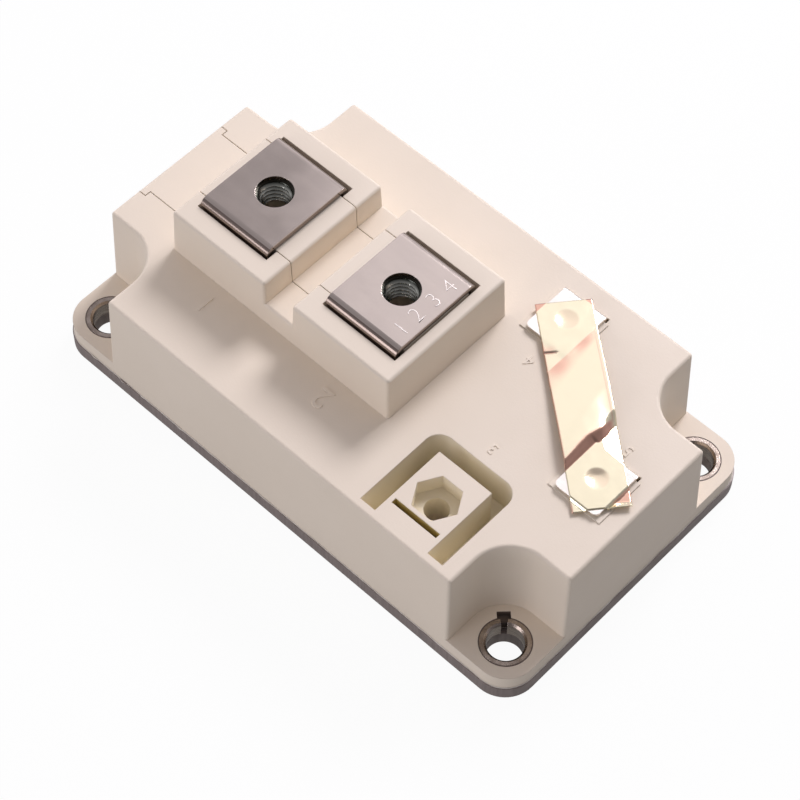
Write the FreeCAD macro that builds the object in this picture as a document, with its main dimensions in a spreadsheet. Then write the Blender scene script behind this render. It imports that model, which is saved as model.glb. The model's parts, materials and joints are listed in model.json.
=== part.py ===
import FreeCAD, Part
import math
import os
import re

import Sketcher
from FreeCAD import Vector

# Single-switch insulated-gate power module, about 106 by 61 by 35 mm.
# The origin is the middle of the base plate's underside, +X runs towards the auxiliary
# terminals and +Z up. Every size below is in millimetres unless its note says degrees.
SIZES = [
    ("base_length", 106.4, "base plate along X"),
    ("base_width", 61.4, "base plate along Y"),
    ("base_thickness", 2.8, "copper base plate"),
    ("base_corner", 6.0, "corner radius of the base plate and of the flange"),
    ("hole_edge", 6.7, "middle of a mounting hole to both plate edges, which gives 93 by 48 between holes"),
    ("mounting_bore", 6.4, "mounting hole through plate and sleeve"),
    ("bead_thickness", 0.15, "adhesive between plate and housing"),
    ("foot_inset", 0.3, "housing foot inside the plate's edge"),
    ("flange_thickness", 3.0, "moulded flange under the four corner notches"),
    ("deck_height", 23.7, "top of the deck above the underside"),
    ("notch_radius", 6.95, "round corner of a notch about its mounting hole"),
    ("draft", 1.9, "draft of the outer walls in degrees"),
    ("edge_round", 0.6, "rounding of the moulded outer edges"),
    ("wall", 2.4, "outer wall at the foot"),
    ("deck_thickness", 2.6, "deck"),
    ("well_wall", 1.5, "walls and floors of the wells under the deck"),
    ("fit_gap", 0.15, "play between the nut carrier and its slot"),
    ("sleeve_outer", 8.6, "mounting sleeve, outside"),
    ("sleeve_gap", 1.3, "slit of the rolled sleeve"),
    ("sleeve_chamfer", 0.4, "chamfer at the mouth of the sleeve"),
    ("sleeve_recess_width", 2.3, "moulded recess at the slit, across"),
    ("sleeve_recess_length", 1.3, "moulded recess at the slit, outwards"),
    ("sleeve_recess_depth", 1.4, "moulded recess at the slit, down"),
    ("main_x", -28.4, "first main terminal"),
    ("main_pitch", 29.0, "first to second main terminal"),
    ("tab_width", 15.6, "main terminal tab along X"),
    ("tab_thickness", 1.1, "main terminal sheet"),
    ("tab_rise", 1.5, "top of the tab above the tower"),
    ("tab_bend", 1.65, "outer bend radius at the leg"),
    ("tab_hole", 6.6, "screw hole in the tab"),
    ("lip_bend", 1.4, "outer bend radius at the lip"),
    ("lip_length", 3.4, "lip from the top of the tab down"),
    ("lip_gap", 0.5, "nut carrier to the lip"),
    ("leg_width", 10.0, "terminal leg below the tray"),
    ("leg_gap", 0.15, "nut carrier's rail to the leg"),
    ("leg_shoulder", 1.0, "tray to the shoulder where the leg narrows"),
    ("foot_length", 4.5, "soldered foot of the leg, outwards"),
    ("foot_bend", 0.5, "inner bend radius at the foot"),
    ("pocket_side_gap", 0.3, "tab to the pocket along X"),
    ("pocket_front_gap", 0.35, "leg to the pocket along Y"),
    ("lip_pocket_depth", 5.0, "blind pocket behind the lip"),
    ("tower_height", 33.8, "top of the terminal tower above the underside"),
    ("tower_end_wall", 2.5, "tower wall beyond the end pockets"),
    ("tower_side_wall", 4.2, "tower wall in front of and behind the pockets"),
    ("step_height", 28.5, "floor of the channel across the tower"),
    ("step_wall", 3.2, "tower wall between a pocket and the channel"),
    ("rail_width", 17.2, "nut carrier between its rails"),
    ("rail_height", 4.7, "rails below the deck level"),
    ("spine_width", 15.4, "nut carrier above the rails"),
    ("head_width", 19.6, "stop at the carrier's outer end"),
    ("head_thickness", 2.2, "stop at the carrier's outer end, along X"),
    ("carrier_end_gap", 0.3, "carrier to the end of its slot"),
    ("main_nut_flats", 10.0, "M6 nut across flats"),
    ("main_nut_thickness", 5.0, "M6 nut"),
    ("main_nut_bore", 5.0, "M6 thread, minor diameter"),
    ("main_nut_gap", 0.15, "nut to its pocket, each side"),
    ("main_well_bore", 7.0, "room for the screw below the M6 nut"),
    ("main_well_depth", 7.5, "room for the screw below the M6 nut"),
    ("gate_x", 19.6, "gate terminal screw hole"),
    ("gate_edge", 10.7, "gate terminal screw hole to the plate's far long edge"),
    ("sense_end", 9.7, "auxiliary emitter terminal screw hole to the plate's end"),
    ("sense_y", 0.0, "auxiliary emitter terminal screw hole"),
    ("spare_end", 26.1, "empty nut holder to the plate's end"),
    ("spare_edge", 10.9, "empty nut holder to the plate's near long edge"),
    ("aux_tab_width", 9.1, "auxiliary tab along X"),
    ("aux_tab_reach", 5.45, "auxiliary tab from the hole to its free end"),
    ("aux_thickness", 0.8, "auxiliary terminal sheet"),
    ("aux_bend", 1.0, "outer bend radius at the auxiliary leg"),
    ("aux_hole", 4.5, "screw hole in the auxiliary tab"),
    ("aux_corner", 1.0, "rounded free corners of the auxiliary tab"),
    ("aux_foot", 4.9, "soldered foot of the gate terminal"),
    ("slot_offset", 5.0, "screw hole to the middle of the leg's slot"),
    ("slot_thickness", 1.0, "slot for an auxiliary leg"),
    ("slot_side_gap", 0.25, "auxiliary leg to the slot's ends"),
    ("pad_height", 0.2, "raised pad under an auxiliary tab"),
    ("pad_margin", 0.9, "raised pad beyond the tab along X"),
    ("aux_nut_flats", 7.0, "M4 nut across flats"),
    ("aux_nut_thickness", 3.2, "M4 nut"),
    ("aux_nut_bore", 3.3, "M4 thread, minor diameter"),
    ("aux_nut_gap", 0.25, "M4 nut to its pocket, each side"),
    ("aux_nut_floor", 0.3, "pocket floor below the M4 nut"),
    ("aux_well_bore", 4.3, "room for the screw below the M4 nut"),
    ("aux_well_depth", 7.0, "room for the screw below the M4 nut"),
    ("holder_width", 11.4, "block round an auxiliary nut, along X"),
    ("holder_back", 6.7, "block behind an auxiliary nut, away from the slot"),
    ("trench_width", 3.2, "trench round the empty holder"),
    ("trench_front", 3.4, "trench arms beyond the slot"),
    ("trench_depth", 8.0, "trench round the empty holder, down"),
    ("trench_corner", 3.0, "outer corners of the trench"),
    ("sense_leg_end", 9.0, "height of the sense terminal's side arm"),
    ("sense_arm", 3.0, "width of the sense terminal's side arm"),
    ("strip_width", 9.7, "copper foil strip"),
    ("strip_thickness", 0.15, "copper foil strip"),
    ("strip_lift", 0.05, "foil above the tabs that it lies on"),
    ("strip_overhang_gate", 3.6, "foil beyond the gate hole"),
    ("strip_overhang_sense", 5.6, "foil beyond the sense hole"),
    ("strip_arch", 1.9, "top of the foil's arch above the tabs"),
    ("strip_dip", 0.45, "foil below the tab level just beyond an edge"),
    ("strip_edge", 0.1, "foil stays at the tab level this far past an edge"),
    ("strip_slope", 0.8, "foil has reached its low level this far past an edge"),
    ("dimple_radius", 2.0, "mouth of the foil pressed into a screw hole"),
    ("dimple_floor", 1.1, "floor of the foil pressed into a screw hole, its radius"),
    ("dimple_depth", 0.65, "foil pressed into a screw hole"),
    ("tile_clearance", 1.05, "ceramic tile to the housing's notch walls"),
    ("tile_width", 46.0, "ceramic tile along Y"),
    ("tile_gap", 1.0, "between the two tiles"),
    ("tile_thickness", 0.65, "ceramic tile"),
    ("copper_thickness", 0.3, "copper on both sides of a tile"),
    ("copper_margin", 1.0, "tile edge to its copper"),
    ("copper_gap", 0.8, "between copper areas"),
    ("emitter_strip", 5.7, "emitter copper beside the gap between the tiles"),
    ("gate_strip", 2.4, "gate copper along the tile's far edge"),
    ("sense_pad", 3.0, "sense copper area along X"),
    ("sense_pad_width", 6.0, "sense copper area along Y"),
    ("chip_pitch", 12.5, "chip to chip along X"),
    ("chip_thickness", 0.3, "silicon chips"),
    ("switch_chip", 9.0, "switching chip, square"),
    ("diode_chip", 7.0, "diode chip, square"),
    ("chip_offset", -2.75, "middle of the chips from the middle of the tile"),
    ("switch_y", 13.5, "row of switching chips"),
    ("diode_y", 0.5, "row of diodes"),
    ("wire_diameter", 0.4, "aluminium bond wire"),
    ("wire_pitch", 2.0, "between bond wires side by side"),
    ("gate_pad_inset", 1.0, "foot of a gate wire to the chip's edge"),
    ("gate_lead_inset", 1.0, "foot of the wire between the tiles to the copper's end"),
    ("wire_loop", 2.2, "height of a long bond loop"),
    ("gate_wire_loop", 0.9, "height of a short bond loop"),
    ("bridge_width", 3.2, "copper bridge between the tiles, along Y"),
    ("bridge_thickness", 0.8, "copper bridge"),
    ("bridge_height", 3.5, "top of a bridge above the copper"),
    ("bridge_foot", 2.4, "soldered foot of a bridge, along X"),
    ("bridge_inset", 0.3, "bridge to the end of the collector copper"),
    ("bridge_front_y", -19.0, "front bridge"),
    ("bridge_back_y", -6.2, "back bridge"),
    ("gel_height", 11.5, "level of the silicone gel above the underside"),
]
ALIASES = {alias for alias, _, _ in SIZES}

document = FreeCAD.newDocument("igbt_module")
sheet = document.addObject("Spreadsheet::Sheet", "Sizes")
for row, (alias, size, note) in enumerate(SIZES, start=1):
    sheet.set(f"A{row}", note)
    sheet.set(f"B{row}", str(size))
    sheet.setAlias(f"B{row}", alias)
document.recompute()


def formula(text):
    """A formula written with plain aliases, as an expression on the sheet."""
    def named(word):
        return f"Sizes.{word.group()}" if word.group() in ALIASES else word.group()

    return re.sub(r"[a-z][a-z_]*", named, text)


def value(text):
    """The present value of such a formula, for what is worked out outside a sketch."""
    result = sheet.evalExpression(formula(text))
    return float(getattr(result, "Value", result))


def bind(thing, **formulas):
    """Ties properties of an object to formulas; a double underscore stands for a dot."""
    for name, text in formulas.items():
        thing.setExpression(name.replace("__", "."), formula(text))
    return thing


# Places that several pieces share, worked out from the sheet
FOOT_X = "(base_length / 2 - foot_inset)"
FOOT_Y = "(base_width / 2 - foot_inset)"
FOOT_Z = "(base_thickness + bead_thickness)"
FLANGE_Z = f"({FOOT_Z} + flange_thickness)"
HOLE_X = "(base_length / 2 - hole_edge)"
HOLE_Y = "(base_width / 2 - hole_edge)"
GATE_Y = "(base_width / 2 - gate_edge)"
SENSE_X = "(base_length / 2 - sense_end)"
SPARE_X = "(base_length / 2 - spare_end)"
SPARE_Y = "(spare_edge - base_width / 2)"
DECK_UNDERSIDE = "(deck_height - deck_thickness)"
MAIN_POSITIONS = ("(main_x)", "(main_x + main_pitch)")
TAB_TOP = "(tower_height + tab_rise)"
LEG_OUTER = "(rail_width / 2 + leg_gap + tab_thickness)"
LIP_OUTER = "(spine_width / 2 + lip_gap + tab_thickness)"
POCKET_X = "(tab_width / 2 + pocket_side_gap)"
POCKET_Y = f"({LEG_OUTER} + pocket_front_gap)"
TOWER_LEFT = f"({MAIN_POSITIONS[0]} - {POCKET_X} - tower_end_wall)"
TOWER_RIGHT = f"({MAIN_POSITIONS[1]} + {POCKET_X} + tower_end_wall)"
TOWER_Y = f"({POCKET_Y} + tower_side_wall)"
CHANNEL_LEFT = f"({MAIN_POSITIONS[0]} + {POCKET_X} + step_wall)"
CHANNEL_RIGHT = f"({MAIN_POSITIONS[1]} - {POCKET_X} - step_wall)"
RAIL_Z = "(deck_height - rail_height)"
TRAY_Z = f"({RAIL_Z} - fit_gap - well_wall)"
SLOT_END = f"({MAIN_POSITIONS[1]} + {POCKET_X})"
PAD_TOP = "(deck_height + pad_height)"
AUX_TOP = f"({PAD_TOP} + aux_thickness)"
TRENCH_FLOOR = "(deck_height - trench_depth)"
COPPER_TOP = "(base_thickness + 2 * copper_thickness + tile_thickness)"
CHIP_TOP = f"({COPPER_TOP} + chip_thickness)"
TILE_END = f"({HOLE_X} - notch_radius - wall - tile_clearance)"
TILE_LENGTH = f"({TILE_END} - {MAIN_POSITIONS[1]} - tile_gap / 2)"
TILE_MIDDLES = tuple(f"({MAIN_POSITIONS[1]} {sign} tile_gap / 2 {sign} {TILE_LENGTH} / 2)" for sign in "-+")

# How far a tool runs past the face that it opens, and a reach beyond the whole module
PAST = "1"
CLEAR = "60"

# How near a face or an edge lies to its level, and how an outer edge is told from an inner or a smooth one
LEVEL_MATCH = 0.0001
LEVEL_NEAR = 0.01
SMOOTH_JOINT = 0.9
PROBE_STEP = 0.05

# Chamfer of a nut as a share of its width across flats
NUT_CHAMFER = "1 / 12"

# The foil's arch and a bond loop, each by shares of the way and of the height
FOIL_DIP = 0.06
FOIL_ARCH = ((0.3, 0.85), (0.66, 1), (0.9, 0.9))
WIRE_KNEES = ((0.2, 0.8), (0.5, 1), (0.8, 0.8))

# The auxiliary positions: screw hole along X and Y, and the side on which the leg goes down
AUX_PLACES = {
    "gate": ("gate_x", GATE_Y, 1),
    "sense": (SENSE_X, "sense_y", 1),
    "spare": (SPARE_X, SPARE_Y, -1),
}
CORNERS = {"front_left": (-1, -1), "front_right": (1, -1), "back_right": (1, 1), "back_left": (-1, 1)}


# Ways of making pieces
def box(name, x, y, z):
    """A block between two formulas along each axis."""
    piece = document.addObject("Part::Box", name)
    bind(piece, Length=f"({x[1]}) - ({x[0]})", Width=f"({y[1]}) - ({y[0]})", Height=f"({z[1]}) - ({z[0]})")
    return bind(piece, Placement__Base__x=x[0], Placement__Base__y=y[0], Placement__Base__z=z[0])


def cylinder(name, x, y, z, diameter):
    piece = document.addObject("Part::Cylinder", name)
    bind(piece, Radius=f"({diameter}) / 2", Height=f"({z[1]}) - ({z[0]})")
    return bind(piece, Placement__Base__x=x, Placement__Base__y=y, Placement__Base__z=z[0])


def hexagon(name, x, y, z, flats):
    """A six-sided prism with two corners along X."""
    piece = document.addObject("Part::Prism", name)
    piece.Polygon = 6
    bind(piece, Circumradius=f"({flats}) / 2 / cos(30)", Height=f"({z[1]}) - ({z[0]})")
    return bind(piece, Placement__Base__x=x, Placement__Base__y=y, Placement__Base__z=z[0])


def fuse(name, pieces):
    joined = document.addObject("Part::MultiFuse", name)
    joined.Shapes = pieces
    return joined


def group(name, pieces):
    """Like pieces that stay separate solids in one node."""
    together = document.addObject("Part::Compound", name)
    together.Links = pieces
    return together


def cut(name, base, tools):
    result = document.addObject("Part::Cut", name)
    result.Base = base
    result.Tool = tools[0] if len(tools) == 1 else fuse(f"{name}_tools", tools)
    return result


def common(name, first, second):
    result = document.addObject("Part::Common", name)
    result.Base = first
    result.Tool = second
    return result


def new_body(name, x="0", y="0"):
    body = document.addObject("PartDesign::Body", name)
    return bind(body, Placement__Base__x=x, Placement__Base__y=y)


def new_sketch(body, name, role, offset="0"):
    """A sketch on one of the body's own origin planes, moved along its normal."""
    sketch = body.newObject("Sketcher::SketchObject", name)
    plane = next(item for item in body.Origin.OriginFeatures if item.Role == role)
    sketch.AttachmentSupport = (plane, [""])
    sketch.MapMode = "FlatFace"
    return bind(sketch, AttachmentOffset__Base__z=offset)


def hold_point(sketch, side, end, name, corner):
    """Fixes one end of a sketch side by two named distances from the origin."""
    for axis, text in zip("XY", corner):
        number = sketch.addConstraint(Sketcher.Constraint(f"Distance{axis}", -1, 1, side, end, value(text)))
        sketch.renameConstraint(number, f"{name}_{axis.lower()}")
        sketch.setExpression(f"Constraints.{name}_{axis.lower()}", formula(text))


def draw_outline(sketch, corners, arcs=None):
    """A closed outline through corners given as formulas.

    arcs maps a side's number to its radius, its centre and whether it turns clockwise;
    the other sides are straight.
    """
    arcs = arcs or {}
    first = sketch.GeometryCount
    points = [Vector(value(x), value(y), 0) for x, y in corners]
    ends = []
    for index, here in enumerate(points):
        there = points[(index + 1) % len(points)]
        if index not in arcs:
            sketch.addGeometry(Part.LineSegment(here, there), False)
            ends.append((1, 2))
            continue
        radius, centre, clockwise = arcs[index]
        middle = Vector(value(centre[0]), value(centre[1]), 0)
        start, stop = (there, here) if clockwise else (here, there)
        angles = [math.atan2(point.y - middle.y, point.x - middle.x) for point in (start, stop)]
        circle = Part.Circle(middle, Vector(0, 0, 1), value(radius))
        sketch.addGeometry(Part.ArcOfCircle(circle, *angles), False)
        ends.append((2, 1) if clockwise else (1, 2))
    for index, corner in enumerate(corners):
        side = first + index
        following = (index + 1) % len(corners)
        joint = (side, ends[index][1], first + following, ends[following][0])
        sketch.addConstraint(Sketcher.Constraint("Coincident", *joint))
        hold_point(sketch, side, ends[index][0], f"corner_{side}", corner)
        if index in arcs:
            number = sketch.addConstraint(Sketcher.Constraint("Radius", side, value(arcs[index][0])))
            sketch.renameConstraint(number, f"radius_{side}")
            sketch.setExpression(f"Constraints.radius_{side}", formula(arcs[index][0]))


def draw_rectangle(sketch, x, y):
    draw_outline(sketch, [(x[0], y[0]), (x[1], y[0]), (x[1], y[1]), (x[0], y[1])])


def draw_circle(sketch, x, y, diameter):
    side = sketch.GeometryCount
    circle = Part.Circle(Vector(value(x), value(y), 0), Vector(0, 0, 1), value(diameter) / 2)
    sketch.addGeometry(circle, False)
    hold_point(sketch, side, 3, f"centre_{side}", (x, y))
    number = sketch.addConstraint(Sketcher.Constraint("Diameter", side, value(diameter)))
    sketch.renameConstraint(number, f"diameter_{side}")
    sketch.setExpression(f"Constraints.diameter_{side}", formula(diameter))


def pad(body, sketch, name, length, both_ways=False):
    feature = body.newObject("PartDesign::Pad", name)
    feature.Profile = sketch
    feature.Midplane = both_ways
    return bind(feature, Length=length)


def pocket(body, sketch, name, length, both_ways=False, upwards=False):
    """A pocket that has to take material away, so its direction is checked."""
    before = body.Tip
    feature = body.newObject("PartDesign::Pocket", name)
    feature.Profile = sketch
    feature.Midplane = both_ways
    feature.Reversed = upwards
    bind(feature, Length=length)
    document.recompute()
    if feature.Shape.Volume >= before.Shape.Volume:
        raise ValueError(f"{name} takes nothing away")
    return feature


def faces_between(shape, low, high):
    """Names of the faces that reach exactly from one level to another."""
    names = []
    for number, face in enumerate(shape.Faces, start=1):
        span = face.BoundBox
        if abs(span.ZMin - low) < LEVEL_MATCH and abs(span.ZMax - high) < LEVEL_MATCH:
            names.append(f"Face{number}")
    return names


def draft(body, name, low, high, level):
    """Leans the upright faces between two levels inwards on their way up, about one of the levels."""
    document.recompute()
    base = body.Tip
    feature = body.newObject("PartDesign::Draft", name)
    feature.Base = (base, faces_between(base.Shape, value(low), value(high)))
    feature.NeutralPlane = (base, faces_between(base.Shape, value(level), value(level))[:1])
    bind(feature, Angle="draft")
    document.recompute()
    if (feature.Shape.Volume > base.Shape.Volume) != (level == high):
        raise ValueError(f"{name} leans the wrong way")
    return feature


def rounded_corners(half_x, half_y, radius):
    """Corners and arcs of a rectangle with four rounded corners, anticlockwise."""
    corners, arcs = [], {}
    for sign_x, sign_y in ((1, -1), (1, 1), (-1, 1), (-1, -1)):
        side_end = (f"{sign_x} * ({half_x} - {radius})", f"{sign_y} * {half_y}")
        end_side = (f"{sign_x} * {half_x}", f"{sign_y} * ({half_y} - {radius})")
        arcs[len(corners)] = (radius, (side_end[0], end_side[1]), False)
        corners += [side_end, end_side] if sign_x * sign_y < 0 else [end_side, side_end]
    return corners, arcs


def notched_corners(half_x, half_y, radius):
    """Corners and arcs of the housing's outline, with a round notch about each mounting hole."""
    corners, arcs = [], {}
    for sign_x, sign_y in ((1, -1), (1, 1), (-1, 1), (-1, -1)):
        outer_x, outer_y = f"{sign_x} * {half_x}", f"{sign_y} * {half_y}"
        inner_x, inner_y = f"{sign_x} * ({HOLE_X} - {radius})", f"{sign_y} * ({HOLE_Y} - {radius})"
        hole_x, hole_y = f"{sign_x} * {HOLE_X}", f"{sign_y} * {HOLE_Y}"
        walk = [(inner_x, outer_y), (inner_x, hole_y), (hole_x, inner_y), (outer_x, inner_y)]
        if sign_x * sign_y > 0:
            walk.reverse()
        arcs[len(corners) + 1] = (radius, (hole_x, hole_y), True)
        corners += walk
    return corners, arcs


def outer_edges(shape, level):
    """Names of the sharp convex edges that rise above a level."""
    names = []
    for number, edge in enumerate(shape.Edges, start=1):
        faces = shape.ancestorsOfType(edge, Part.Face)
        if edge.BoundBox.ZMax < level + LEVEL_NEAR or len(faces) != 2:
            continue
        middle = edge.valueAt((edge.FirstParameter + edge.LastParameter) / 2)
        normals = [face.normalAt(*face.Surface.parameter(middle)) for face in faces]
        if normals[0].dot(normals[1]) > SMOOTH_JOINT:
            continue
        probe = middle + (normals[0] - normals[1]) * PROBE_STEP
        if not shape.isInside(probe, LEVEL_MATCH, False):
            names.append(f"Edge{number}")
    return names


# Base plate
def make_baseplate():
    """Nickel-plated copper plate with four through holes."""
    body = new_body("baseplate")
    outline = new_sketch(body, "baseplate_outline", "XY_Plane")
    draw_outline(outline, *rounded_corners("base_length / 2", "base_width / 2", "base_corner"))
    pad(body, outline, "baseplate_pad", "base_thickness")
    holes = new_sketch(body, "baseplate_holes", "XY_Plane")
    for sign_x, sign_y in CORNERS.values():
        draw_circle(holes, f"{sign_x} * {HOLE_X}", f"{sign_y} * {HOLE_Y}", "mounting_bore")
    pocket(body, holes, "baseplate_bores", "base_thickness", upwards=True)
    return body


def make_sleeve(corner):
    """Sleeve rolled from steel strip, its slit facing the middle of the module."""
    sign_x, sign_y = CORNERS[corner]
    body = new_body(f"mounting_sleeve_{corner}", f"{sign_x} * {HOLE_X}", f"{sign_y} * {HOLE_Y}")
    top = FLANGE_Z
    section = new_sketch(body, f"sleeve_section_{corner}", "XZ_Plane")
    draw_outline(section, [
        ("mounting_bore / 2", "base_thickness"),
        ("sleeve_outer / 2", "base_thickness"),
        ("sleeve_outer / 2", top),
        ("mounting_bore / 2 + sleeve_chamfer", top),
        ("mounting_bore / 2", f"{top} - sleeve_chamfer"),
    ])
    turn = body.newObject("PartDesign::Revolution", f"sleeve_turn_{corner}")
    turn.Profile = section
    turn.ReferenceAxis = (section, ["V_Axis"])
    slit = "2 * asin(sleeve_gap / sleeve_outer)"
    bind(turn, Angle=f"360 deg - {slit}")
    inward = math.degrees(math.atan2(-sign_y, -sign_x))
    bind(body, Placement__Rotation__Angle=f"{inward} deg + {slit} / 2")
    return body


# Housing
def make_housing_form():
    """The moulded outer form: flange, drafted body with four notches, and the terminal tower."""
    body = new_body("housing_form")
    walls = new_sketch(body, "walls_outline", "XY_Plane", FLANGE_Z)
    draw_outline(walls, *notched_corners(FOOT_X, FOOT_Y, "notch_radius"))
    pad(body, walls, "walls_pad", f"deck_height - {FLANGE_Z}")
    draft(body, "walls_draft", FLANGE_Z, "deck_height", FLANGE_Z)
    tower = new_sketch(body, "tower_outline", "XY_Plane", "deck_height")
    draw_rectangle(tower, (TOWER_LEFT, TOWER_RIGHT), (f"-{TOWER_Y}", TOWER_Y))
    pad(body, tower, "tower_pad", "tower_height - deck_height")
    draft(body, "tower_draft", "deck_height", "tower_height", "deck_height")
    channel = new_sketch(body, "channel_outline", "XY_Plane", "tower_height")
    draw_rectangle(channel, (CHANNEL_LEFT, CHANNEL_RIGHT), (f"-{CLEAR}", CLEAR))
    pocket(body, channel, "channel_pocket", "tower_height - step_height")
    last = draft(body, "channel_draft", "step_height", "tower_height", "tower_height")
    rounding = body.newObject("PartDesign::Fillet", "outer_rounding")
    rounding.Base = (last, outer_edges(last.Shape, value(FLANGE_Z)))
    bind(rounding, Radius="edge_round")
    flange = new_sketch(body, "flange_outline", "XY_Plane", FOOT_Z)
    draw_outline(flange, *rounded_corners(FOOT_X, FOOT_Y, "(base_corner - foot_inset)"))
    pad(body, flange, "flange_pad", "flange_thickness")
    return body


def make_core():
    """The room inside the walls, from the base plate up to the deck."""
    body = new_body("core")
    outline = new_sketch(body, "core_outline", "XY_Plane", "base_thickness")
    half_x, half_y = f"({FOOT_X} - wall)", f"({FOOT_Y} - wall)"
    draw_outline(outline, *notched_corners(half_x, half_y, "(notch_radius + wall)"))
    pad(body, outline, "core_pad", f"{DECK_UNDERSIDE} - base_thickness")
    return body


def holder_span(place):
    """Where the block round an auxiliary nut lies along X and Y, its slot's inner face included."""
    x, y, side = AUX_PLACES[place]
    back, front = f"{y} - {side} * holder_back", f"{y} + {side} * (slot_offset - slot_thickness / 2)"
    along_y = (back, front) if side > 0 else (front, back)
    return (f"{x} - holder_width / 2", f"{x} + holder_width / 2"), along_y


def trench_span():
    """The trench's outer rectangle round the empty holder."""
    (left, right), (_, back) = holder_span("spare")
    front = f"{SPARE_Y} - slot_offset - trench_front"
    return (f"{left} - trench_width", f"{right} + trench_width"), (front, f"{back} + trench_width")


def make_wells():
    """What hangs below the deck into the room: the carrier's tray, the nut wells and the trench tub."""
    tray_y = f"({POCKET_Y} + well_wall)"
    tray_x = (f"-{FOOT_X}", f"{SLOT_END} + well_wall")
    wells = [box("carrier_tray", tray_x, (f"-{tray_y}", tray_y), (TRAY_Z, "deck_height"))]
    for place in AUX_PLACES:
        floor = "deck_height - aux_nut_thickness - aux_nut_floor - aux_well_depth - well_wall"
        wells.append(box(f"{place}_well", *holder_span(place), (floor, "deck_height")))
    (left, right), (front, back) = trench_span()
    tub_x = (f"{left} - well_wall", f"{right} + well_wall")
    tub_y = (f"{front} - well_wall", f"{back} + well_wall")
    wells.append(box("trench_tub", tub_x, tub_y, (f"{TRENCH_FLOOR} - well_wall", "deck_height")))
    return fuse("wells", wells)


def carrier_blocks(name, play):
    """The slide-in nut carrier's rails, spine and end stop, or with play its slot in the housing."""
    grow = "fit_gap" if play else "0"
    top = f"tower_height + {PAST}" if play else "tower_height"
    end = SLOT_END if play else f"{SLOT_END} - carrier_end_gap"
    start = f"-{FOOT_X} - {PAST}" if play else f"-{FOOT_X}"
    stop = f"-{FOOT_X} + head_thickness + {grow}"
    bottom = f"{RAIL_Z} - {grow}"
    widths = {"rails": "rail_width", "spine": "spine_width", "head": "head_width"}
    spans = {}
    for part, width in widths.items():
        spans[part] = (f"-{width} / 2 - {grow}", f"{width} / 2 + {grow}")
    return [
        box(f"{name}_rails", (start, end), spans["rails"], (bottom, f"deck_height + {grow}")),
        box(f"{name}_spine", (start, end), spans["spine"], (bottom, top)),
        box(f"{name}_head", (start, stop), spans["head"], (bottom, f"deck_height + {grow}")),
    ]


def terminal_pockets():
    """Through slot for each main terminal's leg, and a blind pocket behind its lip."""
    tools = []
    top = f"tower_height + {PAST}"
    leg_y, leg_z = (f"-{POCKET_Y}", "-spine_width / 2"), (f"{TRAY_Z} - {PAST}", top)
    lip_y, lip_z = ("spine_width / 2", POCKET_Y), ("tower_height - lip_pocket_depth", top)
    for number, middle in enumerate(MAIN_POSITIONS, start=1):
        along_x = (f"{middle} - {POCKET_X}", f"{middle} + {POCKET_X}")
        tools.append(box(f"leg_slot_{number}", along_x, leg_y, leg_z))
        tools.append(box(f"lip_pocket_{number}", along_x, lip_y, lip_z))
    return tools


def auxiliary_pockets():
    """Nut pocket, screw well and leg slot at each auxiliary position."""
    tools = []
    top = f"deck_height + {PAST}"
    nut_floor = "(deck_height - aux_nut_thickness - aux_nut_floor)"
    flats = "aux_nut_flats + 2 * aux_nut_gap"
    half = "(aux_tab_width / 2 + slot_side_gap)"
    for place, (x, y, side) in AUX_PLACES.items():
        well_z = (f"{nut_floor} - aux_well_depth", nut_floor)
        along_x = (f"{x} - {half}", f"{x} + {half}")
        middle = f"({y} + {side} * slot_offset)"
        along_y = (f"{middle} - slot_thickness / 2", f"{middle} + slot_thickness / 2")
        tools.append(hexagon(f"{place}_nut_pocket", x, y, (nut_floor, top), flats))
        tools.append(cylinder(f"{place}_screw_well", x, y, well_z, "aux_well_bore"))
        tools.append(box(f"{place}_leg_slot", along_x, along_y, (FOOT_Z, top)))
    return tools


def trench_tool():
    """U-shaped trench that lengthens the surface path round the empty holder."""
    (left, right), (front, back) = trench_span()
    corner = "trench_corner"
    body = new_body("trench_outer")
    outline = new_sketch(body, "trench_outline", "XY_Plane", TRENCH_FLOOR)
    arc_left, arc_right, arc_y = f"{left} + {corner}", f"{right} - {corner}", f"{back} - {corner}"
    corners = [(left, front), (right, front), (right, arc_y)]
    corners += [(arc_right, back), (arc_left, back), (left, arc_y)]
    arcs = {2: (corner, (arc_right, arc_y), False), 4: (corner, (arc_left, arc_y), False)}
    draw_outline(outline, corners, arcs)
    pad(body, outline, "trench_pad", f"trench_depth + {PAST}")
    inner_x, (_, inner_back) = holder_span("spare")
    inner_y = (f"{front} - {PAST}", inner_back)
    inner_z = (f"{TRENCH_FLOOR} - {PAST}", f"deck_height + 2 * {PAST}")
    return cut("trench", body, [box("trench_island", inner_x, inner_y, inner_z)])


def sleeve_seats():
    """Bores for the sleeves, each with a small recess at the slit."""
    tools = []
    for corner, (sign_x, sign_y) in CORNERS.items():
        x, y = f"{sign_x} * {HOLE_X}", f"{sign_y} * {HOLE_Y}"
        seat_z = (FOOT_Z, f"{FLANGE_Z} + {PAST}")
        tools.append(cylinder(f"sleeve_seat_{corner}", x, y, seat_z, "sleeve_outer"))
        recess = document.addObject("Part::Box", f"sleeve_recess_{corner}")
        bind(recess, Length="sleeve_outer / 2 + sleeve_recess_length")
        bind(recess, Width="sleeve_recess_width", Height=f"sleeve_recess_depth + {PAST}")
        inward = math.degrees(math.atan2(-sign_y, -sign_x))
        half = "sleeve_recess_width / 2"
        bind(recess, Placement__Rotation__Angle=str(inward))
        bind(recess, Placement__Base__z=f"{FLANGE_Z} - sleeve_recess_depth")
        bind(recess, Placement__Base__x=f"{x} + {half} * sin({inward})")
        bind(recess, Placement__Base__y=f"{y} - {half} * cos({inward})")
        tools.append(recess)
    return tools


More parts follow.
